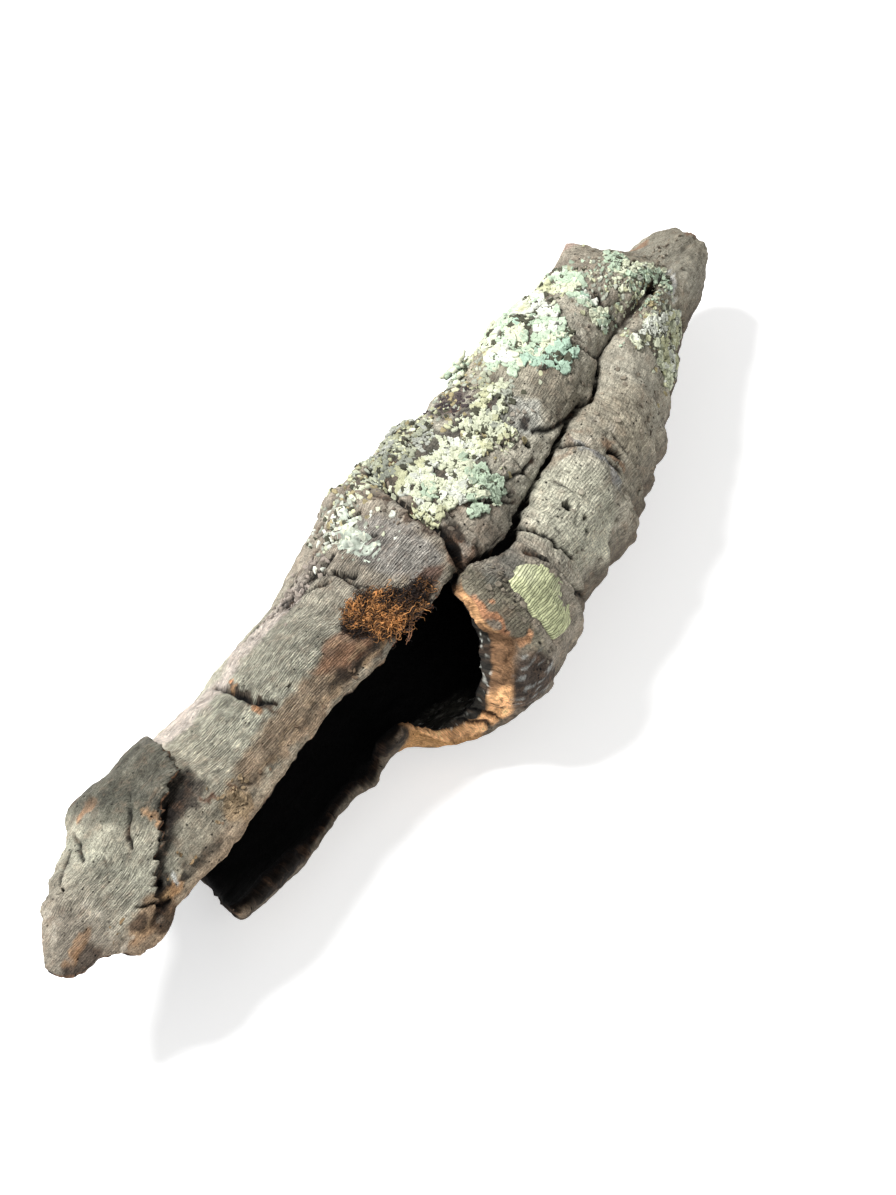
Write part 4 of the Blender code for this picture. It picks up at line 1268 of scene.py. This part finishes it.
def loose_chips(material):
    """Small flakes of bark that lift off the flaky places."""
    chance = np.random.default_rng(SEED + 5)
    seeds, shades = [], []
    for count, place, middle, along, across, shade in CHIPS:
        seeds.extend(chance.normal(0, 0.55, (count, 2)) * (along, across / MM_PER_DEGREE) + (place, middle))
        shades.extend(linear(shade) * chance.uniform(0.55, 1.35, (count, 1)))
    seeds, shades = np.array(seeds), np.array(shades)
    x, angle = seeds.T
    from_rim = turned(angle, -30)
    mouth = (x < 6) & (from_rim < 0) & (from_rim > -85)
    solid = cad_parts["bark"].data
    skin = BVHTree.FromPolygons([v.co for v in solid.vertices], [tuple(f.vertices) for f in solid.polygons])
    spots = tube(x, angle, cad_relief(x, angle))
    away = np.array([skin.find_nearest(Vector(spot))[3] for spot in spots]) / MM
    keep = ((from_slit(x, angle) > 1.6) | (x < 0)) & ~mouth & (x < 160) & (away < 0.8)
    keep &= distance_to(FLAP_EDGE, x, angle) > 2.5
    seeds, shades = seeds[keep], shades[keep]
    sizes = chance.uniform(0.3, 0.9, len(seeds))
    lifts = chance.uniform(-0.1, 0.35, len(seeds))
    scales("bark_chips", seeds, sizes, shades, lifts, chance, material, "bark", "bark", 0.35, CRUMB_CORNERS)


def patch_grid(outline, step):
    """A fine grid over an outline on the sheet: x, angle, quads and how far inside the edge each place is."""
    low, high = box_of(outline, 1.5)
    us = np.arange(low[0], high[0], step)
    vs = np.arange(low[1], high[1], step / MM_PER_DEGREE)
    x, angle = (values.ravel() for values in np.meshgrid(us, vs, indexing="ij"))
    columns = len(vs)
    corner = (np.arange(len(us) - 1)[:, None] * columns + np.arange(columns - 1)[None]).ravel()
    quads = np.stack([corner, corner + columns, corner + columns + 1, corner + 1], -1)
    return x, angle, quads, inset(outline, x, angle)


def green_crust(material):
    """The square patch of fine green ribs."""
    x, angle, quads, depth = patch_grid(LICHENS["lichen_green"], 0.22)
    here = wrapped(x, angle)
    depth = depth + 0.45 * noise(here, 2.2, 81)
    ribs = np.sin((angle * MM_PER_DEGREE + 0.6 * noise(here, 4, 82)) * 2 * np.pi / 1.3)
    lines = ramp(ribs, -0.95, -0.1)
    height = 0.5 * ramp(depth, 0, 0.8) + 0.16 * lines + 0.15 * noise(here, 2.5, 83)
    ground = cad_relief(x, angle) + 0.35 * bark_relief(x, angle) + 0.26
    where = tube(x, angle, ground + height - 1.0 * (1 - ramp(depth, -0.6, 0.3)))
    tone = (0.88 + 0.16 * lines) * (1 + noises(here, (0.18, 4, 84), (0.25, 0.9, 87)))
    shade = linear((192, 196, 154)) * tone[:, None]
    shade = blended(shade, linear((206, 206, 180)), 0.3 * ramp(noise(here, 6, 85), 0.1, 0.6))
    cross = np.maximum(bell(x, 17.5, 0.7), bell(angle, -58, 1.6))
    shade = darkened(shade, 0.3 * cross * ramp(noise(here, 2, 86), -0.3, 0.4))
    kept = quads[(depth[quads] > -0.5).all(axis=1)]
    piece_of_quads("lichen_green_ribs", where, kept, material, "lichen_green", "green_crust", shade,
                   sheet=here, flat=flat_sheet(x, angle))


def pale_crust(material):
    """The thin pale crust on the smooth bulge."""
    x, angle, quads, depth = patch_grid(LICHENS["lichen_pale"], 0.3)
    here = wrapped(x, angle)
    depth = np.minimum(depth, 2.2) + noises(here, (2.2, 2.6, 91), (1.9, 0.9, 92)) - 1.3
    ground = cad_relief(x, angle) + bark_relief(x, angle)
    height = 0.3 * ramp(depth, 0, 0.5) + 0.12 * noise(here, 1.3, 93)
    where = tube(x, angle, ground + height - 0.8 * (1 - ramp(depth, -0.4, 0.25)))
    shade = linear((166, 173, 160)) * (1 + noises(here, (0.35, 2, 94), (0.6, 0.8, 95)))[:, None]
    kept = quads[(depth[quads] > -0.4).all(axis=1)]
    piece_of_quads("lichen_pale_film", where, kept, material, "lichen_pale", "lichen", shade, sheet=here)


def thread_mesh(spines, widths):
    """Three-sided threads along many spines of equal length. Returns points and triangles."""
    count, steps = spines.shape[:2]
    along = np.gradient(spines, axis=1)
    along /= np.linalg.norm(along, axis=2, keepdims=True) + 1e-12
    side = np.cross(along, np.array((0.3, 0.2, 1.0)))
    side /= np.linalg.norm(side, axis=2, keepdims=True) + 1e-12
    lift = np.cross(side, along)
    taper = np.sin(np.linspace(0.25, np.pi - 0.15, steps)) ** 0.5
    points = []
    for turn in np.radians((90, 210, 330)):
        ring = side * math.cos(turn) + lift * math.sin(turn)
        points.append(spines + ring * (widths[:, None] * taper[None])[:, :, None])
    faces = []
    for start in range(0, 3 * (steps - 1), 3):
        for corner in range(3):
            a, b = start + corner, start + (corner + 1) % 3
            faces.extend(((a, b, b + 3), (a, b + 3, a + 3)))
    faces = (np.arange(count)[:, None, None] * steps * 3 + np.array(faces)[None]).reshape(-1, 3)
    return np.stack(points, 2).reshape(-1, 3), faces


CURLS = 1350
HANGING = 34
TAILS = 7  # of the hanging threads, the long ones at the near side
THREAD_STEPS = 12


def tuft_mat(material):
    """The dark mat under the rusty threads; its dark rust colour is partly painted shade deep in the tuft."""
    x, angle, quads, depth = patch_grid(TUFT, 0.5)
    here = wrapped(x, angle)
    depth = depth + 0.8 * noise(here, 2.5, 101)
    rise = 1.1 * ramp(depth, 0, 2.5) + 0.8 * noise(here, 1.6, 102) * ramp(depth, 0, 1)
    where = tube(x, angle, cad_relief(x, angle) + rise - 0.6)
    # Dark rust, and painted shade of the tuft's depths.
    shade = linear((42, 22, 13)) * (1 + 0.6 * noise(here, 1.2, 103))[:, None]
    kept = quads[(depth[quads] > -0.3).all(axis=1)]
    piece_of_quads("tuft_mat", where, kept, material, "rust_tuft", "tuft", shade)


def curly_threads(chance):
    """The middle lines and colours of the curly threads all over the tuft, with painted light and shade in
    the colours.
    """
    low, high = linear((28, 16, 11)), linear((214, 150, 88))
    spines, shades = [], []
    while len(spines) < CURLS:
        start = chance.uniform((-24, -30), (0, 5))
        if inset(TUFT, start[:1], start[1:])[0] <= 0:
            continue
        lump = noise(wrapped(start[:1], start[1:]), 3.2, 104)[0]
        if chance.random() > 0.9 + 0.3 * lump:
            continue
        curl = chance.uniform(10, 50) * chance.choice((-1, 1))
        bends = curl + chance.normal(0, 34, THREAD_STEPS)
        turns = np.radians(chance.uniform(0, 360) + np.cumsum(bends))
        step = chance.uniform(0.22, 0.5)
        u = start[0] + np.cumsum(step * np.cos(turns))
        v = start[1] + np.cumsum(step * np.sin(turns)) / MM_PER_DEGREE
        base = chance.uniform(0.2, 2.0) + 0.4 * lump
        arch = chance.uniform(0.3, 1.2)
        up = base + arch * np.sin(np.linspace(0, np.pi * chance.uniform(1, 2.6), THREAD_STEPS)) ** 2
        spines.append(tube(u, v, cad_relief(u, v) + up))
        # Painted light: threads lighter towards the upper left, and darker with painted shade when they start
        # low.
        bright = 0.32 + 0.7 * lump + 0.12 * ramp(start[1] - 0.8 * start[0], -6, 14)
        bright = np.clip(bright + chance.normal(0, 0.42) - 0.3 * (base < 0.8), 0, 1) ** 2
        # Painted shade: each point darker the lower it lies in the tuft.
        tone = chance.uniform(0.75, 1.3) * np.clip(0.05 + 0.42 * up, 0.1, 1.1)
        shades.append((low * (1 - bright) + high * bright) * tone[:, None])
    return spines, shades


def hanging_threads(chance):
    """The middle lines and colours of the threads that hang into the mouth."""
    spines, shades = [], []
    t = np.linspace(0, 1, THREAD_STEPS)[:, None]
    for number in range(HANGING):
        tail = number < TAILS
        u = np.array([chance.uniform(-11, -10) if tail else chance.uniform(-20, -1)])
        v = np.array([-27 + chance.uniform(-0.8, 0.8) * (1 if tail else 2.5)])
        start = tube(u, v, cad_relief(u, v) + 0.5)[0]
        reach = chance.uniform(4, 6) if tail else chance.uniform(0.6, 1.8)
        drift = chance.uniform(-4.4, -3.8) if tail else chance.uniform(-1.6, 1.6)
        down = np.array((drift, -0.35 * reach, -0.85 * reach)) * MM
        curve = start + down * t + np.array((0, -1.2 * MM, 0)) * np.sin(np.pi * t) * chance.uniform(0.2, 1)
        curve = curve + 0.25 * MM * np.sin(t * chance.uniform(5, 14)) * np.array((1, 0.4, 0.2))
        spines.append(curve)
        shade = linear((190, 138, 104)) if tail else linear((120, 74, 50))
        shades.append(shade * chance.uniform(0.5, 1.2) * np.ones((THREAD_STEPS, 1)))
    return spines, shades


def tuft_threads(material):
    """The rusty threads: curly ones all over the tuft, and strands that hang into the mouth."""
    chance = np.random.default_rng(SEED)
    spines, shades = curly_threads(chance)
    more_spines, more_shades = hanging_threads(chance)
    spines = np.array(spines + more_spines)
    points, faces = thread_mesh(spines, chance.uniform(0.06, 0.13, len(spines)) * MM)
    tint = np.repeat(np.concatenate(shades + more_shades), 3, axis=0)
    new_piece("tuft_threads", points, faces, material, "rust_tuft", "tuft", tint)


# The photograph's viewpoint: its right, its top, the way back from the target, the target and how far it is.
VIEW_RIGHT = Vector((0.57636, -0.81720, 0))
VIEW_UP = Vector((0.64396, 0.45418, 0.61566))
VIEW_OUT = Vector((-0.50312, -0.35484, 0.78801))
VIEW_TARGET = Vector((-0.0092, -0.0039, 0.028))
VIEW_DISTANCE = 0.89625

# The disc lamps: name, place to the right of the target, up and outwards, and size in metres, power in watts.
LAMPS = (
    ("key", -0.75, 0.85, 0.75, 0.4, 30),
    ("fill", 0.5, -0.2, 1.2, 1.0, 3),
)
FLOOR_REACH = 6.0
FLOOR_GLOW = 0.5
SKY_LIGHT = 0.37
PAPER = (0.90, 0.90, 0.895, 1)
LIGHT_PAPER = (0.93, 0.93, 0.925, 1)


def stage_and_light():
    """A pale floor and soft light from above and from the upper left of the photograph."""
    mesh = bpy.data.meshes.new("floor")
    corners = [(a * FLOOR_REACH, b * FLOOR_REACH, 0) for a, b in ((-1, -1), (1, -1), (1, 1), (-1, 1))]
    mesh.from_pydata(corners, [], [(0, 1, 2, 3)])
    floor = bpy.data.objects.new("floor", mesh)
    bpy.context.scene.collection.objects.link(floor)
    n = Nodes("pale_floor")
    soft = n.noise(n.add("ShaderNodeTexCoord").outputs["Object"], 3.0, 2)
    colour = n.mix(n.spread(soft, 0.3, 0.7), PAPER, LIGHT_PAPER)
    n.finish(colour, Roughness=0.9, Specular_IOR_Level=0.1, Emission_Color=(1, 1, 1, 1),
             Emission_Strength=FLOOR_GLOW)
    floor.data.materials.append(n.material)
    world = bpy.data.worlds.new("studio")
    bpy.context.scene.world = world
    world.use_nodes = True
    sky = world.node_tree.nodes["Background"]
    sky.inputs["Color"].default_value = (1.0, 1.0, 1.0, 1)
    sky.inputs["Strength"].default_value = SKY_LIGHT
    for name, sideways, upward, outward, size, power in LAMPS:
        light = bpy.data.lights.new(name, "AREA")
        light.shape = "DISK"
        light.size = size
        light.energy = power
        lamp = bpy.data.objects.new(name, light)
        bpy.context.scene.collection.objects.link(lamp)
        lamp.location = VIEW_TARGET + VIEW_RIGHT * sideways + VIEW_UP * upward + VIEW_OUT * outward
        lamp.rotation_euler = (VIEW_TARGET - lamp.location).to_track_quat("-Z", "Y").to_euler()


def camera():
    """The photograph's viewpoint, with its lens and framing."""
    lens = bpy.data.cameras.new("camera")
    lens.lens = 100
    lens.sensor_width = 36
    lens.clip_start = 0.01
    thing = bpy.data.objects.new("camera", lens)
    bpy.context.scene.collection.objects.link(thing)
    turn = Matrix((VIEW_RIGHT, VIEW_UP, VIEW_OUT)).transposed()
    thing.matrix_world = Matrix.Translation(VIEW_TARGET + VIEW_DISTANCE * VIEW_OUT) @ turn.to_4x4()
    bpy.context.scene.camera = thing


camera()
stage_and_light()
bark_skin()
crust_material = lichen_material("lichen_crust")
for lichen in LOBES:
    lobed_crust(lichen, crust_material)
lichen_crumbs(crust_material)
loose_chips(lichen_material("bark_chip"))
green_crust(lichen_material("green_ribs", lined=True))
pale_crust(crust_material)
thread_material = fibre_material()
tuft_mat(thread_material)
tuft_threads(thread_material)
bpy.context.scene.view_settings.view_transform = "Standard"
